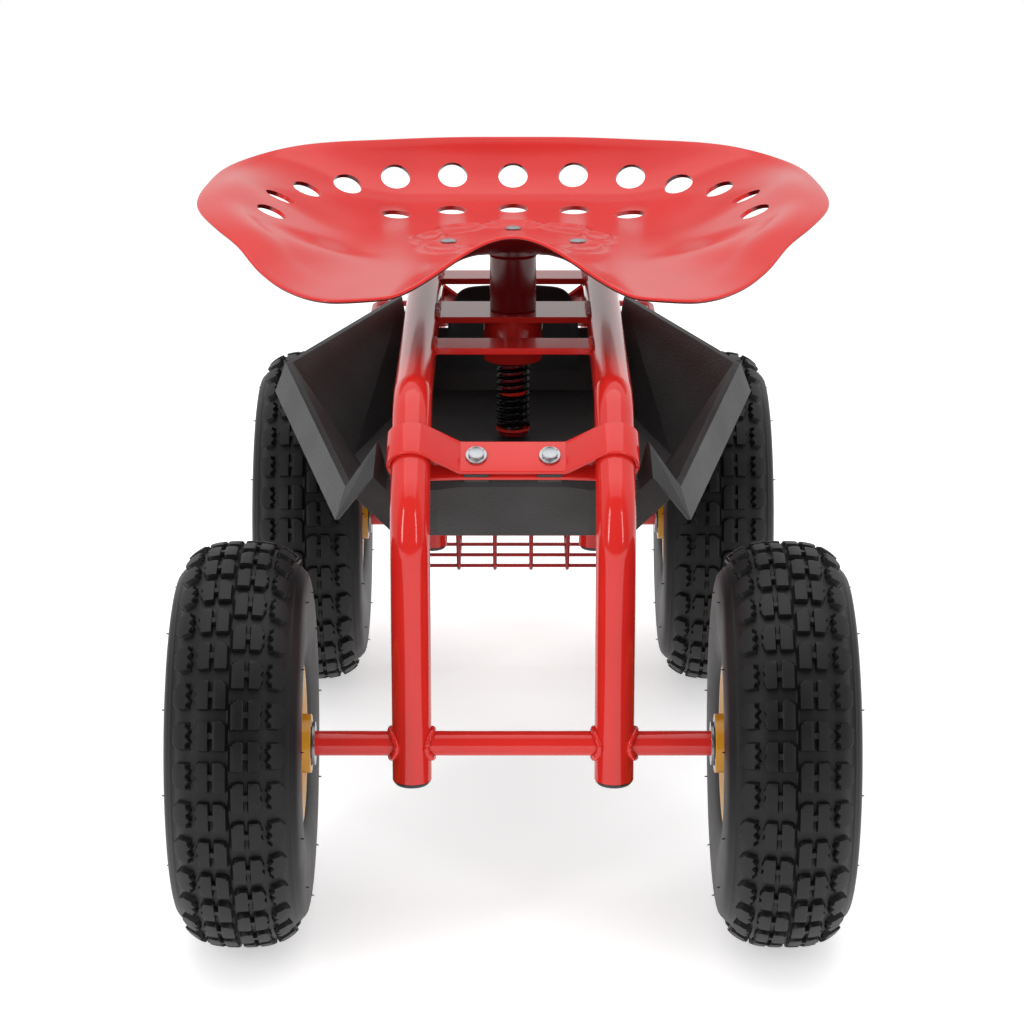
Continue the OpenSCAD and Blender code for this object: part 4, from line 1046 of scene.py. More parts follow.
@dataclass
class ToolTray:
    """The moulded tray: its solid's folds and lip, with every edge rounded as a mould leaves it, and the
    upright flap that closes the tray's rear between the rails, in front of the clamp's nuts."""

    edge: float = 0.0014
    flap_y: float = 0.1540
    flap_foot: float = 0.2640
    flap_top: float = 0.3310
    flap_half_w: float = 0.0512
    flap_t: float = 0.0028

    def flap(self) -> Points:
        """Works out the flap: a thin section at each place across, whose top falls off towards both sides.

        The top's height over the foot is the full height less 5% of the square of the place across, times the
        root of one less its tenth power. The section is a thin rectangle with a round top.

        Returns:
            A grid with one row for each place across.
        """
        x = np.sin(np.linspace(-np.pi / 2, np.pi / 2, 61) * 0.995)
        high = (self.flap_top - self.flap_foot) * (1 - 0.05 * x ** 2) * np.sqrt(1 - np.abs(x) ** 10)
        turn = np.linspace(0, np.pi, 9)
        side = self.flap_t / 2 * np.concatenate([[1.0], np.cos(turn), [-1.0]])
        lift = np.concatenate([[0.0], np.full(9, 1.0), [0.0]])
        round_top = np.concatenate([[0.0], self.flap_t / 2 * (np.sin(turn) - 1), [0.0]])
        z = self.flap_foot + lift[None] * high[:, None] + round_top[None]
        return np.stack([np.broadcast_to(self.flap_half_w * x[:, None], z.shape),
                         np.broadcast_to(self.flap_y + side[None], z.shape), z], axis=2)

    def build(self, dresser: Dresser) -> None:
        """Makes and dresses the tray and its flap.

        Args:
            dresser: What finishes each piece and sets it on its body.
        """
        tray = dresser.edge_softened("tool_tray", "moulded_tray", self.edge, segments=3, flat_deg=0.6, edge_deg=14)
        dresser.dress(tray, dresser.finishes.tray, "frame", ["tool_tray"])
        dresser.dress(Shell().add_grid(self.flap()).build("tray_rear_flap"), dresser.finishes.tray, "frame")


@dataclass
class Basket:
    """The wire basket: a rim, and three layers of bent round wire, across, lengthways and level."""

    front: float = 0.23415
    length: float = 0.190
    rim_z: float = 0.255
    top: float = 0.2522
    floor_z: float = 0.082
    half_w: float = 0.116
    floor_half: float = 0.087
    floor_len: float = 0.145
    rim_r: float = 0.0025
    wire_r: float = 0.0015
    step: float = 0.00302
    ring_step: float = 0.003171
    bend: float = 0.006

    def wire(self, shell: Shell, corners: Sequence[Sequence[float]], normal: Sequence[float],
             closed: bool = False) -> None:
        """Adds one wire: a circle carried along a path whose corners are arcs.

        Args:
            shell: The surface that it joins.
            corners: Corners of its path.
            normal: Direction square to the path.
            closed: Whether its ends meet.
        """
        path = spaced(rounded_path(corners, self.bend, steps=7, closed=closed), 0.03, closed)
        shell.add_grid(carry(path, circle(self.wire_r, 12), np.asarray(normal, dtype=float), closed), wrap_rows=closed)

    def cross_wires(self) -> Shell:
        """Gathers the wires that go down one side, across the floor and up the other side.

        Returns:
            The surface of all six wires.
        """
        shell = Shell()
        front = self.front + self.rim_r
        for share in np.linspace(0, 1, 6):
            y, y_top = front + share * self.floor_len, self.front + 0.006 + share * (self.length - 0.012)
            normal = np.cross([1.0, 0, 0], [0, y_top - y, self.top - self.floor_z])
            self.wire(shell, [(-self.half_w, y_top, self.top), (-self.floor_half, y, self.floor_z),
                              (self.floor_half, y, self.floor_z), (self.half_w, y_top, self.top)], normal)
        return shell

    def long_wires(self) -> Shell:
        """Gathers the wires that go down the front, along under the floor and up the rear.

        Returns:
            The surface of all six wires.
        """
        shell = Shell()
        front = self.front + self.rim_r - self.step
        rear, low = front + self.floor_len + 2 * self.step, self.floor_z - self.step
        for k in np.arange(-2.5, 3):
            x = k * self.floor_half / 3
            normal = np.cross([0, 1.0, 0], [0.1 * x, 0, self.top - low])
            self.wire(shell, [(1.1 * x, front, self.top), (x, front, low), (x, rear, low),
                              (1.1 * x, self.front + self.length, self.top)], normal)
        return shell

    def level_wires(self) -> Shell:
        """Gathers the four closed wires round the inside of the walls.

        Returns:
            The surface of all four wires.
        """
        shell = Shell()
        front, rear = self.front + self.rim_r, self.front + self.length
        low_rear = front + self.floor_len + self.step
        for share in np.arange(1, 5) / 5:
            x = self.floor_half + share * (self.half_w - self.floor_half) - self.ring_step
            y = low_rear + share * (rear - low_rear) - self.ring_step
            z = self.floor_z + share * (self.top - self.floor_z)
            self.wire(shell, [(x, front, z), (x, y, z), (-x, y, z), (-x, front, z)], (0, 0, 1), closed=True)
        return shell

    def rim(self) -> Points:
        """Carries the rim wire round its rounded rectangle.

        Returns:
            A grid that closes on itself.
        """
        rear = self.front + self.length
        corners = [(self.half_w, self.front, self.rim_z), (self.half_w, rear, self.rim_z),
                   (-self.half_w, rear, self.rim_z), (-self.half_w, self.front, self.rim_z)]
        path = spaced(rounded_path(corners, 0.012, steps=12, closed=True), 0.02, closed=True)
        return carry(path, circle(self.rim_r, 20), np.array([0, 0, 1.0]), closed=True)

    def build(self, dresser: Dresser) -> None:
        """Makes and dresses the basket with its clips and their screws.

        Args:
            dresser: What finishes each piece and sets it on its body.
        """
        f = dresser.finishes
        for name, shell in (("cross", self.cross_wires()), ("long", self.long_wires()), ("ring", self.level_wires())):
            dresser.dress(shell.build(f"basket_{name}_mesh"), f.wire_red, "frame",
                          [f"basket_{name}_wires"])
        rim = Shell().add_grid(self.rim(), wrap_rows=True)
        dresser.dress(rim.build("basket_rim_wire"), f.wire_red, "frame", ["basket_rim"])
        dresser.dress(dresser.edge_softened("basket_clips", "basket_brackets", 0.0004), f.red, "frame",
                      ["basket_clips"])
        dresser.dress(dresser.edge_softened("clip_screws", "bracket_screws", 0.0003), f.zinc, "frame",
                      ["clip_screws"])


# Wheels

@dataclass
class Tyre:
    """A pneumatic tyre with a block tread, drawn round X with its middle plane at zero."""

    radius: float = 0.130
    half_w: float = 0.042
    bead_r: float = 0.047
    bead_z: float = 0.0317
    foot_r: float = 0.0533
    foot_z: float = 0.0337
    lug_mm: float = 3.6
    pitches: int = 32
    belly_share: float = 0.53
    crown_power: float = 0.72
    wall_points: int = 60
    crown_points: int = 1201
    nub_count: int = 22
    nub_r: float = 0.0975
    nub_spread: float = 0.005
    nub_sink: float = 0.0004
    nub_h: float = 0.0021

    def outline(self) -> tuple[Points, Points]:
        """Works out the outer section from one bead over the crown to the other.

        Below the widest place a sidewall is a quarter of an ellipse. Above it the section is a flattened
        half ellipse, whose sine and cosine are raised to a power below one.

        Returns:
            Distance from the axis and place across, each at the same points.
        """
        belly = self.bead_r + (self.radius - self.bead_r) * self.belly_share
        u = np.linspace(np.pi / 2, 0, self.wall_points)
        low_r = belly - (belly - self.foot_r) * np.sin(u)
        low_z = self.foot_z + (self.half_w - self.foot_z) * np.cos(u)
        t = np.linspace(0, np.pi, self.crown_points)[1:-1]
        top_r = belly + (self.radius - belly) * np.sin(t) ** self.crown_power
        top_z = self.half_w * np.sign(np.cos(t)) * np.abs(np.cos(t)) ** self.crown_power
        r = np.concatenate([[self.bead_r], low_r, top_r, low_r[::-1], [self.bead_r]])
        z = np.concatenate([[self.bead_z], low_z, top_z, -low_z[::-1], [-self.bead_z]])
        return r, z

    def relief(self, s: Points, phase: Points) -> Points:
        """Gives the height of the tread, from 0 in the grooves to 1 on the blocks.

        Two columns of block pairs lie on each side of the middle, half a pitch apart, each pair joined by a
        narrow bridge, with a toothed shoulder block beyond. A block is where the largest of its distances
        past its sides and cut corners is below zero.

        Args:
            s: Distance from the middle along the section, in millimetres.
            phase: Place round the tyre in pitches.

        Returns:
            The height at each point.
        """
        pitch = 2 * math.pi * self.radius * 1000 / self.pitches
        half = 0.365 * pitch
        x = np.abs(s)
        y = (np.mod(phase + np.where(s > 0, 0.5, 0.0) + 0.5, 1.0) - 0.5) * pitch

        def block(x0: Points, x1: Points, h: float, cut_in: float, cut_out: float) -> Points:
            """Gives 1 on a block from x0 to x1 and 0 off it. Its inner low and both outer corners are cut."""
            d = highest(x0 - x, x - x1, np.abs(y) - h, (cut_in - (x - x0) - (y + h)) * 0.7071,
                        (cut_out - (x1 - x) - (h - np.abs(y))) * 0.7071)
            return 1 - ease((d + 0.3) / 0.6)

        teeth = triangle(y / 6.2)
        inner = block(1.5, 9.6, half, 2.6, 0.6)
        outer = block(12.0, 21.4 - 1.5 * teeth, half, 0.6, 2.4)
        shoulder = block(24.0 + 2.6 * teeth, 37.5, half * 0.93, 0.5, 4.0)
        bridge = (1 - ease((np.abs(y) - 1.9) / 0.6)) * (x > 9.2) * (x < 12.4) * 0.86
        seam = 0.16 * np.exp(-(s / 0.45) ** 2)
        return highest(inner, outer, shoulder, bridge, seam)

    def grid(self) -> Points:
        """Works out the tyre's whole closed surface, a ring of sections.

        The outer section is lowered by the lug's height, less where the relief raises it, and the lowering
        fades out over the shoulder. Two thin rings stand on each sidewall.

        Returns:
            A grid with one row for each section.
        """
        r, z = self.outline()
        step = np.hypot(np.diff(r), np.diff(z))
        s = np.concatenate([[0], np.cumsum(step)])
        middle = s[len(s) // 2]
        s = (s - middle) * 1000
        tread = np.array([0.0, 0.45, 1.0, 1.35, 1.7, 3, 5, 7.5, 9.0, 9.4, 9.8, 10.8, 11.7, 12.05, 12.4, 14, 16.5, 18.5,
                          19.4, 19.9, 20.4, 20.9, 21.4, 21.9, 22.8, 23.7, 24.2, 24.7, 25.2, 25.7, 26.2, 26.8, 28, 30,
                          32, 33.5, 35, 36.2, 37.1, 37.5, 37.9, 39, 40.5, 42, 43.2, 44, 44.8, 46, 48, 50, 52, 54, 56])
        wall = np.linspace(59, s[-1] - 0.01, 14)
        ss = np.concatenate([-wall[::-1], -tread[:0:-1], tread, wall])
        rr, zz = np.interp(ss, s, r), np.interp(ss, s, z)
        away = unit(np.stack([-np.gradient(zz), np.gradient(rr)], axis=1))
        half_pitch = np.array([0, 0.04, 0.07, 0.086, 0.102, 0.123, 0.135, 0.147, 0.19, 0.25, 0.31, 0.353, 0.365, 0.377,
                               0.398, 0.414, 0.43, 0.46])
        phase = np.concatenate([k + np.concatenate([half_pitch, half_pitch + 0.5]) for k in range(self.pitches)])
        high = self.relief(ss[None, :], phase[:, None])
        fade = 1 - ease((np.abs(ss) - 39) / 12)
        drop = -(1 - high) * self.lug_mm * fade
        rings = 0.35 * (np.exp(-((np.abs(ss) - 44) / 0.5) ** 2) + np.exp(-((np.abs(ss) - 62) / 0.8) ** 2))
        lift = (drop + rings) / 1000
        away *= np.sign(away[len(rr) // 2, 0])
        across = zz[None, :] + away[None, :, 1] * lift
        radial = rr[None, :] + away[None, :, 0] * lift
        inner_r = np.array([self.bead_r, 0.075, 0.095, 0.108, 0.1165, 0.118, 0.1165, 0.108, 0.095, 0.075, self.bead_r])
        inner_z = np.array([-0.0237, -0.033, -0.036, -0.033, -0.020, 0, 0.020, 0.033, 0.036, 0.033, 0.0237])
        across = np.concatenate([across, np.broadcast_to(inner_z, (len(phase), len(inner_z)))], axis=1)
        radial = np.concatenate([radial, np.broadcast_to(inner_r, (len(phase), len(inner_r)))], axis=1)
        a = (phase / self.pitches * 2 * np.pi)[:, None]
        return np.stack([across, radial * np.cos(a), radial * np.sin(a)], axis=2)

    def nubs(self) -> Points:
        """Makes the hair-thin vent nubs on the sidewalls as narrow cones, one array row for each.

        Each foot lies on the section's widest part, a little sunk, at its own distance from the axis.

        Returns:
            An array of cones, each a grid of two rings.
        """
        rng = np.random.default_rng(7)
        count = self.nub_count
        r_out, z_out = self.outline()
        top = slice(1 + self.wall_points, self.wall_points + self.crown_points // 2)
        a = np.linspace(0, 2 * np.pi, count, endpoint=False) + rng.uniform(-0.03, 0.03, count)
        sides = np.where(np.arange(count) % 2, 1.0, -1.0)
        turn = np.linspace(0, 2 * np.pi, 5, endpoint=False)
        base_r = self.nub_r + rng.uniform(-self.nub_spread, self.nub_spread, count)
        base_z = np.interp(base_r, r_out[top], z_out[top]) - self.nub_sink
        rows = []
        for share, thick in ((0.0, 0.0006), (1.0, 0.0003)):
            z = sides * (base_z + share * self.nub_h)
            r = base_r + share * rng.uniform(0.0003, 0.001, count)
            centre = np.stack([z, r * np.cos(a), r * np.sin(a)], axis=1)
            tangent = np.stack([np.zeros(count), -np.sin(a), np.cos(a)], axis=1)
            radial = np.stack([np.zeros(count), np.cos(a), np.sin(a)], axis=1)
            ring = centre[:, None] + thick * (np.cos(turn)[None, :, None] * tangent[:, None]
                                              + np.sin(turn)[None, :, None] * radial[:, None])
            rows.append(ring)
        return np.stack(rows, axis=1)


@dataclass
class Wheel:
    """One wheel: tyre, pressed rim, hub, bearings and rim bolts."""

    row: Row
    side: Side
    tyre: Tyre = field(default_factory=Tyre)
    rim_sheet: float = 0.0025

    @property
    def name(self) -> str:
        """Returns the wheel's name, such as front_left."""
        return f"{self.row.value}_{self.side.name.lower()}"

    @property
    def centre(self) -> Points:
        """Returns the middle of the wheel."""
        return np.array([self.side.value * LAYOUT.track(self.row) / 2, LAYOUT.row_y(self.row), LAYOUT.axle_z])

    def rim(self) -> Shell:
        """Turns both pressed halves: a disc at the hub, a barrel and a rolled flange.

        Returns:
            The surface of both halves.
        """
        t, barrel = self.rim_sheet, 0.04545
        half = [(0.01903, 0.00003), (0.0400, 0.00003), (0.0428, 0.0012), (barrel - 0.0004, 0.0052), (barrel, 0.0315),
                (0.0475, 0.0329), (0.0515, 0.0340), (0.0530, 0.0348), (0.0531, 0.0362), (0.0524, 0.0369),
                (0.0500, 0.0362), (0.0462, 0.0352), (barrel - t, 0.0341), (barrel - t - 0.0002, 0.0076),
                (0.0408, 0.0034), (0.0385, t), (0.01903, t)]
        shell = Shell()
        for sign in (-1.0, 1.0):
            shell.add_grid(turned(softened(half, 0.0006, 3), self.centre, Axis.X, 128, sign), wrap_rows=True)
        return shell

    def hub(self) -> Points:
        """Turns the hub tube with its bearing seats.

        Returns:
            A grid that closes on itself.
        """
        s = self.side.value
        profile = softened([(0.014, -0.0315), (0.01752, -0.0315), (0.01752, -0.0428), (0.0181, -0.043),
                            (0.0190, -0.0425), (0.0190, 0.0325), (0.0181, 0.033), (0.01752, 0.0328), (0.01752, 0.0215),
                            (0.014, 0.0215)], 0.0003, 3)
        return turned(profile, self.centre, Axis.X, 96, s)

    def bearings(self) -> Shell:
        """Turns both bearings: an outer ring, an inner ring and a dished shield between them.

        Returns:
            The surface of both bearings.
        """
        shell = Shell()
        for mouth, into in ((-0.043, 1), (0.033, -1)):
            p = [(0.00805, 0.0002), (0.0104, 0.0001), (0.0107, 0.0009), (0.0128, 0.0013), (0.0148, 0.0010),
                 (0.0151, 0.0002), (0.0172, 0.0001), (0.0175, 0.0004), (0.0175, 0.011), (0.00805, 0.011)]
            profile = [(r, mouth + into * h) for r, h in p]
            shell.add_grid(turned(softened(profile, 0.00015, 3), self.centre, Axis.X, 96, self.side.value),
                           wrap_rows=True)
        return shell

    def build(self, dresser: Dresser) -> None:
        """Makes and dresses the wheel.

        Args:
            dresser: What finishes each piece and sets it on its body.
        """
        f, body, name = dresser.finishes, f"{self.name}_wheel", self.name
        flip = np.array([self.side.value, 1.0, 1.0])
        tyre = Shell().add_grid(self.tyre.grid() * flip + self.centre, wrap_rows=True)
        dresser.dress(tyre.build(f"{name}_block_tyre", 50), f.rubber, body, [f"{name}_tyre"])
        nubs = Shell()
        for cone in self.tyre.nubs() * flip + self.centre:
            nubs.add_grid(cone)
        dresser.dress(nubs.build(f"{name}_vent_nubs"), f.rubber, body)
        dresser.dress(self.rim().build(f"{name}_pressed_rim"), f.yellow, body, [f"{name}_rim"])
        hub = Shell().add_grid(self.hub(), wrap_rows=True)
        dresser.dress(hub.build(f"{name}_hub_tube"), f.yellow, body, [f"{name}_hub"])
        dresser.dress(self.bearings().build(f"{name}_ball_bearings"), f.zinc, body, [f"{name}_bearings"])
        bolts = dresser.edge_softened(f"{name}_rim_bolts", f"{name}_rim_hex_bolts", 0.0003)
        dresser.dress(bolts, f.zinc, body, [f"{name}_rim_bolts"])
        tube = dresser.edge_softened(f"{name}_inner_tube", f"{name}_air_tube", 0.0)
        dresser.dress(tube, f.tube_rubber, body, [f"{name}_inner_tube"])


@dataclass
class AxleFittings:
    """The washers and cotter pins on the axles."""

    def build(self, dresser: Dresser) -> None:
        """Dresses the washers and pins with rounded edges."""
        for node, name in (("wheel_washers", "plated_washers"), ("cotter_pins", "split_pins")):
            dresser.dress(dresser.edge_softened(node, name, 0.0003), dresser.finishes.zinc, "frame", [node])


# Seat

@dataclass
class SeatScrew:
    """The post, its screw with the return spring, and the washer and nut at the screw's foot."""

    post_r: float = 0.0165
    post_low: float = 0.3453
    post_high: float = 0.38696
    screw_r: float = 0.008
    screw_low: float = 0.2521
    screw_high: float = 0.3613
    lead: float = 0.005
    spring_r: float = 0.011
    spring_wire: float = 0.0012
    spring_low: float = 0.2582
    spring_len: float = 0.050
    rise: float = 0.0201
    turns: int = 10
    flat: float = 0.25

    def post(self) -> Points:
        """Turns the post: a tube with a small fillet weld at its head and foot.

        Returns:
            A grid that closes on itself.
        """
        low, high, r = self.post_low, self.post_high, self.post_r
        profile = [(0.0081, low), (r - 0.0004, low), (r, low + 0.0005), (r, high - 0.003), (r + 0.0006, high - 0.0018),
                   (r + 0.0022, high - 0.0004), (r + 0.0022, high), (r - 0.0025, high), (r - 0.0025, low + 0.004),
                   (0.0081, low + 0.004)]
        return turned(softened(profile, 0.0004, 3), (0, LAYOUT.post_y, 0), Axis.Z, 96)

    def screw(self) -> Points:
        """Makes the threaded rod: its radius falls in a groove that climbs one lead in a turn.

        Returns:
            A grid with one row for each height.
        """
        z = np.arange(self.screw_low, self.screw_high, 0.00045)
        a = np.linspace(0, 2 * np.pi, 48, endpoint=False)
        turn = np.mod(z[:, None] / self.lead - a[None, :] / (2 * np.pi), 1.0)
        depth = 0.0011 * ease((0.5 - np.abs(turn - 0.5)) * 6 - 1.0)
        ends = np.minimum(1, np.minimum(z - z[0], z[-1] - z) / 0.001)[:, None]
        r = self.screw_r - depth - 0.0008 * (1 - ends)
        return np.stack([r * np.cos(a), LAYOUT.post_y + r * np.sin(a), np.broadcast_to(z[:, None], r.shape)], axis=2)

    def spring(self) -> Points:
        """Carries a circle along the helix: it climbs evenly but for a flat quarter turn at each end.

        Returns:
            A grid with one row for each point of the helix.
        """
        t = np.linspace(0, self.turns, self.turns * 56 + 1)
        span = self.spring_len - 2 * self.spring_wire
        z = self.spring_low + self.spring_wire + span * np.clip((t - self.flat) / (self.turns - 2 * self.flat), 0, 1)
        a = 2 * np.pi * t
        path = np.stack([self.spring_r * np.cos(a), LAYOUT.post_y + self.spring_r * np.sin(a), z], axis=1)
        return carry(path, circle(self.spring_wire, 12), np.array([0, 0, 1.0]))

    def band(self) -> Points:
        """Turns the band that ends the screw's red sleeve, inside the spring."""
        profile = softened([(0.0079, 0.2826), (0.0094, 0.2828), (0.0094, 0.2862), (0.0079, 0.2864)], 0.0004, 3)
        return turned(profile, (0, LAYOUT.post_y, 0), Axis.Z, 64)

    def build(self, dresser: Dresser) -> None:
        """Makes and dresses the post, screw, spring, washer and nut.

        Args:
            dresser: What finishes each piece and sets it on its body.
        """
        f = dresser.finishes
        # The post takes the darker red, painted shade under the seat.
        dresser.dress(Shell().add_grid(self.post(), wrap_rows=True).build("post_tube"), f.under_seat_red_painted_shade, "seat",
                      ["seat_post"])
        dresser.dress(Shell().add_grid(self.screw()).build("threaded_post_screw", 60), f.screw, "seat",
                      ["post_screw"])
        dresser.dress(Shell().add_grid(self.band(), wrap_rows=True).build("sleeve_band"), f.red, "seat")
        spring = Shell().add_grid(self.spring()).build("return_spring", 60)
        dresser.dress(spring, f.black_steel, "frame", ["spring"])
        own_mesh(spring)
        dresser.dress(dresser.edge_softened("spring_washer", "spring_cup_washer", 0.0003), f.red, "spring_carrier",
                      ["spring_washer"])
        # The end nut takes the darker red, painted shade.
        dresser.dress(dresser.edge_softened("end_nut", "screw_end_nut", 0.0003), f.under_seat_red_painted_shade, "seat",
                      ["end_nut"])


@dataclass
class SeatPan:
    """The dished and perforated pan, pressed from 3 mm sheet, with its bracket and bolts."""

    half_w: float = 0.222
    rear: float = 0.173
    level: float = 0.394
    back_h: float = 0.044
    sheet: float = 0.003
    flat_r: float = 0.070
    rosette_r: float = 0.0715
    petal_r: float = 0.0605
    petal_half: tuple[float, float] = (0.0185, 0.0088)
    petal_h: float = 0.0021
    petal_dip: float = 0.0006
    hole_d: float = 0.022
    width_share: float = 1.28
    rim: tuple[tuple[float, float, float], ...] = (
        (90, 1.000, 1.00), (75, 1.028, 1.00), (60, 1.098, 0.99), (43, 1.250, 0.965), (28, 1.311, 0.87),
        (11, 1.283, 0.79), (-3, 1.280, 0.67), (-16, 1.235, 0.55), (-26, 1.200, 0.39), (-36, 1.208, 0.14),
        (-45, 1.220, -0.02), (-54, 1.221, -0.07), (-61, 1.136, -0.05), (-68, 1.052, 0.0), (-74, 0.985, 0.0),
        (-81, 0.918, 0.0), (-90, 0.879, 0.0))
    notch_share: float = 0.81
    notch_half_w: float = 0.085026
    ridge_start: float = 0.008
    ridge_power: float = 1.5
    bolt_r: float = 0.046
    hole_rows: tuple[tuple[tuple[float, ...], float, float, float], ...] = (
        ((16.3, 30.8, 43.1, 56.1, 72.4, 88.7), 0.1712, 0.1561, 2.9), ((22.3, 42.6), 0.143, 0.116, 2.0))

    def rim_value(self, a: Points, column: int) -> Points:
        """Interpolates a column of the rim's table at angles from 90 (rear) to -90 (front) by cubic Hermite arcs.

        Args:
            a: Angles in degrees.
            column: 1 for the distance, 2 for the height.

        Returns:
            The column's value at each angle.
        """
        table = np.asarray(self.rim)[::-1]
        x, y = table[:, 0], table[:, column]
        slope = np.zeros_like(y)
        slope[1:-1] = (y[2:] - y[:-2]) / (x[2:] - x[:-2])
        k = np.clip(np.searchsorted(x, a, side="right") - 1, 0, len(x) - 2)
        span = x[k + 1] - x[k]
        t = (a - x[k]) / span
        return ((2 * t ** 3 - 3 * t ** 2 + 1) * y[k] + (t ** 3 - 2 * t ** 2 + t) * slope[k] * span
                + (3 * t ** 2 - 2 * t ** 3) * y[k + 1] + (t ** 3 - t ** 2) * slope[k + 1] * span)

    def ray(self, a: Points) -> Points:
        """Returns the plan direction of the ray at angle a: the seat's width stretches it sideways."""
        a = np.radians(a)
        return unit(np.stack([np.cos(a) * self.half_w / (self.rear * self.width_share), np.sin(a)], axis=-1))

    def rim_radius(self, a: Points) -> Points:
        """Returns the distance from the post to the rim along the ray at angle a.

        Args:
            a: Angles in degrees.

        Returns:
            The distances.
        """
        r = self.rear * self.rim_value(a, 1)
        rad = np.radians(a)
        return np.hypot(r * np.cos(rad) * self.half_w / (self.rear * self.width_share), r * np.sin(rad))

    def petals(self, t: Points, r: Points) -> Points:
        """Gives the pressed rosette: the raised outlines of nine petals, each an ellipse laid across its ray.

        Args:
            t: Angle from the right round the rear, in degrees.
            r: Distance from the post along the ray.

        Returns:
            The height at each point.
        """
        across = np.radians(np.mod(t - 90 + 20, 40) - 20) * 0.061
        rho = np.hypot(across / self.petal_half[0], (r - self.petal_r) / self.petal_half[1])
        return self.petal_h * np.exp(-((rho - 1) / 0.22) ** 2) - self.petal_dip * np.exp(-(rho / 0.5) ** 2)

    def ridge(self, x: Points, ahead: Points) -> Points:
        """Gives the ridge that rises forward to the notch: a smooth hump across, times a power of the way ahead.

        Args:
            x: Place across the seat.
            ahead: Distance ahead of the post.

        Returns:
            The height at each point.
        """
        front_r = self.rear * self.rim[-1][1]
        way = np.maximum(0, (ahead - self.ridge_start) / (front_r - self.ridge_start))
        return self.back_h * self.notch_share * (1 - ease(np.abs(x) / self.notch_half_w)) * way ** self.ridge_power

    def surface(self, t: Points, r: Points) -> Points:
        """Works out the pan's upper face.

        The height is the rim's height times a share that depends on how far out the point is: at the sides
        a wall that flattens into a flare, at the back and front a steep power. A low crest runs round the
        sides, and the rosette and the ridge stand on top.

        Args:
            t: Angle from the right round the rear, in degrees.
            r: Distance from the post along the ray.

        Returns:
            Points, from the post and the pan's level.
        """
        a = np.degrees(np.arcsin(np.clip(np.sin(np.radians(t)), -1, 1)))
        rim_r = self.rim_radius(a)
        s = np.maximum(0, (r - self.flat_r) / (rim_r - self.flat_r))
        side = np.where(a > 0, ease((60 - a) / 60), ease((a + 50) / 30))
        power = np.where(a > 0, s ** 5, s ** 2.5)
        share = side * ease((s - 0.25) / 0.67) + (1 - side) * power
        crest = 0.003 * side * np.where(s > 0.75, np.sin(np.pi * (s - 0.75) / 0.25), 0)
        v = self.ray(a)
        z = (self.back_h * self.rim_value(a, 2) * share + crest + self.petals(t, r)
             + self.ridge(v[..., 0] * r, -v[..., 1] * r))
        sign = np.where(np.cos(np.radians(t)) < -1e-9, -1.0, 1.0)
        return np.stack([sign * v[..., 0] * r, v[..., 1] * r, z], axis=-1)

    def normals(self, t: Points, r: Points) -> Points:
        """Returns the upper face's upward directions, from neighbouring points of the surface.

        Args:
            t: Angle from the right round the rear, in degrees.
            r: Distance from the post along the ray.

        Returns:
            Unit vectors.
        """
        across = self.surface(t + 0.5, r) - self.surface(t - 0.5, r)
        a = np.degrees(np.arcsin(np.clip(np.sin(np.radians(t)), -1, 1)))
        outer, inner = np.minimum(r + 0.0005, self.rim_radius(a)), np.maximum(r - 0.0005, 1e-4)
        return unit(np.cross(self.surface(t, outer) - self.surface(t, inner), across))

    def shell(self) -> Shell:
        """Works out the pan as one closed surface: upper face, rounded edge, lower face.

        Returns:
            The pan's surface, without its holes.
        """
        t = np.linspace(0, 360, 360, endpoint=False)
        a = np.degrees(np.arcsin(np.clip(np.sin(np.radians(t)), -1, 1)))
        rim_r = self.rim_radius(a)
        shares = np.linspace(0.02, 1, 34) ** 0.9
        inner = np.linspace(0.004, self.rosette_r, 40)
        rows = np.concatenate([np.broadcast_to(inner[:, None], (len(inner), len(t))),
                               self.rosette_r + (rim_r[None] - self.rosette_r) * shares[:, None]])
        tt = np.broadcast_to(t, rows.shape)
        top, up = self.surface(tt, rows), self.normals(tt, rows)
        edge_top, edge_up = top[-1], up[-1]
        out = unit(np.cross(np.roll(edge_top, -1, axis=0) - np.roll(edge_top, 1, axis=0), edge_up))
        turn = np.linspace(0, np.pi, 7)[1:-1]
        half = self.sheet / 2
        edge = np.stack([edge_top - half * (1 - math.cos(k)) * edge_up + half * math.sin(k) * out * 0.8 for k in turn])
        low = (top - self.sheet * up)[::-1]
        grid = np.concatenate([top, edge, low]) + np.array([0, LAYOUT.post_y, self.level])
        return Shell().add_grid(grid)

    def hole_places(self) -> list[tuple[Points, Points]]:
        """Lists the middle and direction of each round hole, in two rows that follow the rear of the rim.

        A row lies on a rounded oval: the sum of a power of the shares of its half width and half length is one.

        Returns:
            A middle and a direction for each hole.
        """
        places = []
        for steps, x, y, power in self.hole_rows:
            t = 90 + np.array([-s for s in reversed(steps)] + [0.0] + list(steps))
            rad = np.radians(t)
            r = (np.abs(np.cos(rad) / x) ** power + np.abs(np.sin(rad) / y) ** power) ** (-1 / power)
            for p, n in zip(self.surface(t, r), self.normals(t, r)):
                places.append((p + np.array([0, LAYOUT.post_y, self.level]), n))
        return places

    def punch(self, pan: bpy.types.Object) -> None:
        """Cuts the round holes through the pan, and applies the cut.

        Args:
            pan: The pan, whose mesh is replaced.
        """
        cutters = Shell()
        for p, n in self.hole_places():
            path = p + np.array([[-0.012], [0.012]]) * n
            cutters.add_grid(carry(path, circle(self.hole_d / 2, 48), np.cross(n, [1.0, 0.1, 0])))
        tool = cutters.build("hole_cutters")
        cut = pan.modifiers.new("holes", "BOOLEAN")
        cut.operation, cut.solver, cut.object = "DIFFERENCE", "EXACT", tool
        done = bpy.data.meshes.new_from_object(pan.evaluated_get(bpy.context.evaluated_depsgraph_get()))
        pan.modifiers.clear()
        pan.data = done
        bpy.data.objects.remove(tool)
        done.set_sharp_from_angle(angle=math.radians(38))

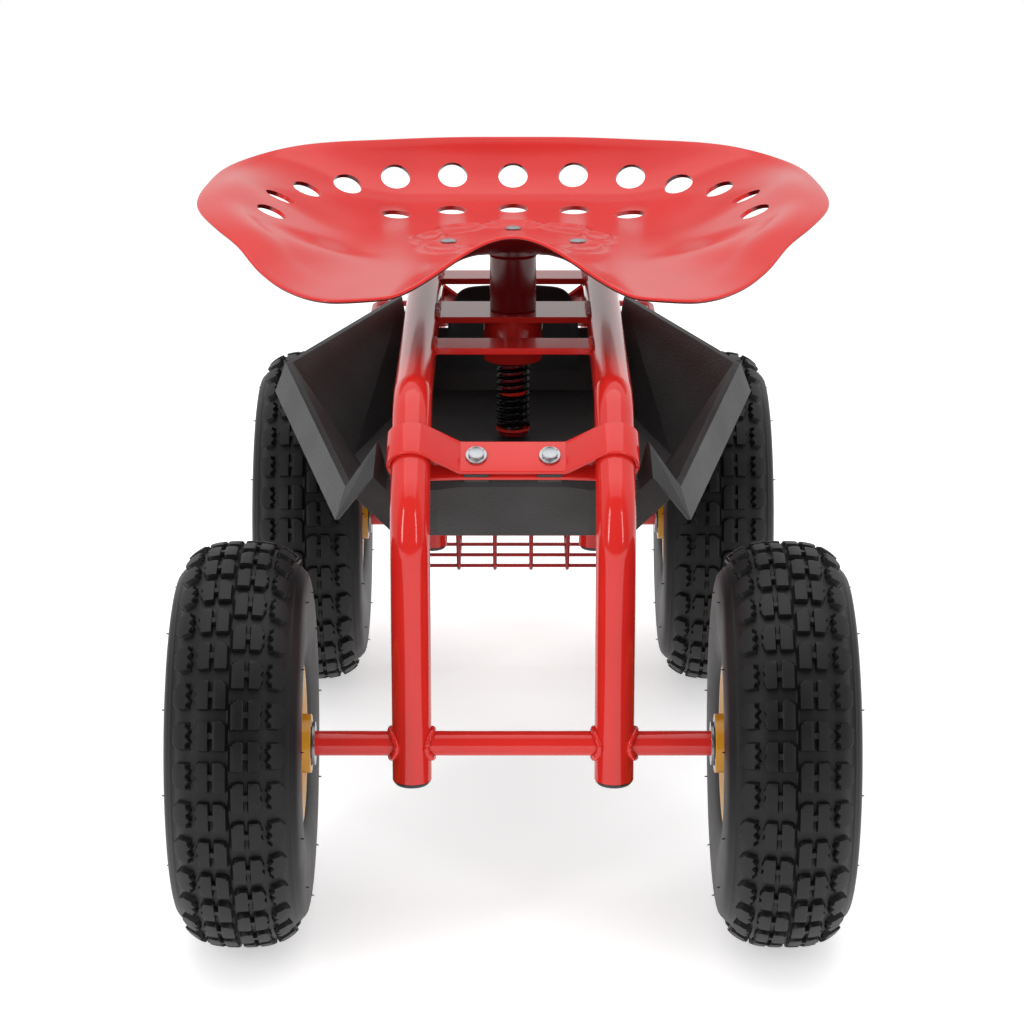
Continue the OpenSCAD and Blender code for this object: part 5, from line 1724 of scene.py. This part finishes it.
    def build(self, dresser: Dresser) -> None:
        """Makes and dresses the pan, the bracket and the bolts.

        Args:
            dresser: What finishes each piece and sets it on its body.
        """
        f = dresser.finishes
        pan = self.shell().build("pressed_seat_pan", 60)
        self.punch(pan)
        dresser.dress(pan, f.pan_red_painted_shade, "seat", ["seat_pan"])
        # The bracket takes the darker red, painted shade under the pan.
        bracket = dresser.edge_softened("seat_flange", "post_bracket", 0.0005)
        dresser.dress(bracket, f.under_seat_red_painted_shade, "seat", ["seat_flange"])
        heads = Shell()
        dome = [(0.0001, 0.0056), (0.0006, 0.0059), (0.0011, 0.0056), (0.0014, 0.0049), (0.0017, 0.0036),
                (0.0018, 0.0020), (0.0018, 0.0007)]
        for x, y in ((self.bolt_r, 0.0), (0.0, self.bolt_r), (-self.bolt_r, 0.0)):
            seat = np.array([x, LAYOUT.post_y + y, self.level])
            rings = np.stack([seat + [0, 0, h] + np.pad(circle(r, 48), ((0, 0), (0, 1))) for h, r in dome])
            heads.add_grid(rings)
            shank = seat + np.array([[0, 0, 0.0002], [0, 0, -0.0154]])
            heads.add_grid(carry(shank, circle(0.003, 24), np.array([1.0, 0, 0])))
        dresser.dress(heads.build("seat_bolt_heads"), f.zinc, "seat", ["seat_bolts"])
        nuts = dresser.edge_softened("seat_nuts", "seat_hex_nuts", 0.0004)
        dresser.dress(nuts, f.zinc, "seat", ["seat_nuts"])


# Studio

@dataclass
class Studio:
    """White floor, soft lights and the camera, low in front of the seat.

    The room is white to the eye and lights everything evenly. In reflections it is white behind and above and
    dim in front, round the camera, so gloss keeps its full colour on faces turned that way.
    """

    camera_place: tuple[float, float, float] = (0.0, -2.24865, 0.863)
    pitch_deg: float = 16.5
    lens_mm: float = 113.9
    shift_x: float = 0.001
    shift_y: float = 0.0
    room: float = 0.72
    bright_back: float = 0.86
    dim_front: float = 0.12

    def camera(self) -> None:
        """Sets the camera where the photograph was taken."""
        data = bpy.data.cameras.new("camera")
        data.lens, data.sensor_width, data.sensor_fit = self.lens_mm, 36.0, "HORIZONTAL"
        data.shift_x, data.shift_y = -self.shift_x, self.shift_y
        data.clip_end = 60.0
        camera = bpy.data.objects.new("camera", data)
        camera.location = self.camera_place
        camera.rotation_euler = (math.radians(90 - self.pitch_deg), 0.0, 0.0)
        bpy.context.scene.collection.objects.link(camera)
        bpy.context.scene.camera = camera

    def area(self, name: str, place: Sequence[float], aim: Sequence[float], size: tuple[float, float],
             power: float) -> None:
        """Adds a soft box.

        Args:
            name: Its name.
            place: Its middle.
            aim: The point that it faces.
            size: Width and height.
            power: Watts.
        """
        data = bpy.data.lights.new(name, "AREA")
        data.shape, data.size, data.size_y, data.energy = "RECTANGLE", size[0], size[1], power
        lamp = bpy.data.objects.new(name, data)
        lamp.location = place
        direction = Vector(aim) - Vector(place)
        lamp.rotation_euler = direction.to_track_quat("-Z", "Y").to_euler()
        bpy.context.scene.collection.objects.link(lamp)

    def floor(self, finishes: Finishes) -> None:
        """Lays the sheet under the seat, as far as the light reaches. Beyond it the room is as white.

        Args:
            finishes: The finishes, of which the sheet is used.
        """
        shell = Shell()
        x, y = np.linspace(-2.4, 2.4, 13), np.linspace(-2.0, 2.4, 12)
        grid = np.stack(np.meshgrid(x, y, indexing="xy") + [np.zeros((len(y), len(x)))], axis=2)
        shell.add_grid(grid, wrap_cols=False, caps=False)
        floor = shell.build("paper_floor")
        floor.data.materials.append(finishes.sheet)
        floor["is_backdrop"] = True

    def world(self) -> None:
        """Fills the room with white light, which reflections see dim towards the front."""
        world = bpy.data.worlds.new("studio")
        bpy.context.scene.world = world
        world.use_nodes = True
        tree = world.node_tree
        tree.nodes.clear()
        place = add_node(tree, "ShaderNodeTexCoord")
        axes = add_node(tree, "ShaderNodeSeparateXYZ", {0: place.outputs["Generated"]})
        back = add_node(tree, "ShaderNodeMapRange", {
            "Value": axes.outputs["Y"], "From Min": -0.42, "From Max": -0.02, "To Min": self.dim_front,
            "To Max": self.bright_back}, interpolation_type="SMOOTHSTEP")
        ray = add_node(tree, "ShaderNodeLightPath")
        seen = add_node(tree, "ShaderNodeMix", {0: ray.outputs["Is Glossy Ray"], 2: self.room, 3: back.outputs[0]})
        strength = add_node(tree, "ShaderNodeMix", {0: ray.outputs["Is Camera Ray"], 2: seen.outputs[0], 3: 1.0})
        light = add_node(tree, "ShaderNodeBackground", {
            "Color": (1.0, 1.0, 1.0, 1.0), "Strength": strength.outputs[0]})
        add_node(tree, "ShaderNodeOutputWorld", {"Surface": light.outputs[0]})
        bpy.context.scene.view_settings.view_transform = "Standard"

    def build(self, finishes: Finishes) -> None:
        """Builds the studio.

        Args:
            finishes: The finishes, of which the floor takes one.
        """
        self.camera()
        self.floor(finishes)
        self.world()
        self.area("top_box", (0.0, -0.1, 2.6), (0, 0, 0.2), (2.8, 2.8), 26.0)
        self.area("left_box", (-1.9, -2.2, 1.3), (0, -0.1, 0.25), (0.3, 1.8), 18.0)
        self.area("right_box", (1.7, -2.4, 1.3), (0, -0.1, 0.25), (0.25, 1.8), 11.0)


def write_sizes(before: object, after: object) -> None:
    """Turns the model's box and the dressed part's box into JSON text of plain lists, which is then dropped.

    Args:
        before: The model's box.
        after: The dressed part's box.
    """
    import json

    def plain(box: object) -> object:
        """Turns nested sequences of numbers into lists."""
        return [plain(v) for v in box] if hasattr(box, "__len__") else round(float(box), 6)

    json.dumps({"cad": plain(before), "visual": plain(after)}, indent=1)


def main() -> None:
    """Builds the studio and the sub-assemblies in order."""
    logging.basicConfig(level=logging.INFO, format="%(message)s")
    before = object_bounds()
    finishes = Finishes()
    dresser = Dresser(finishes)
    Studio().build(finishes)
    FrameTubes().build(dresser)
    CrossPlates().build(dresser)
    Clamps().build(dresser)
    ToolTray().build(dresser)
    Basket().build(dresser)
    AxleFittings().build(dresser)
    SeatScrew().build(dresser)
    SeatPan().build(dresser)
    for row in Row:
        for side in Side:
            Wheel(row, side).build(dresser)
    write_sizes(before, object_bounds())


if __name__ == "__main__":
    main()
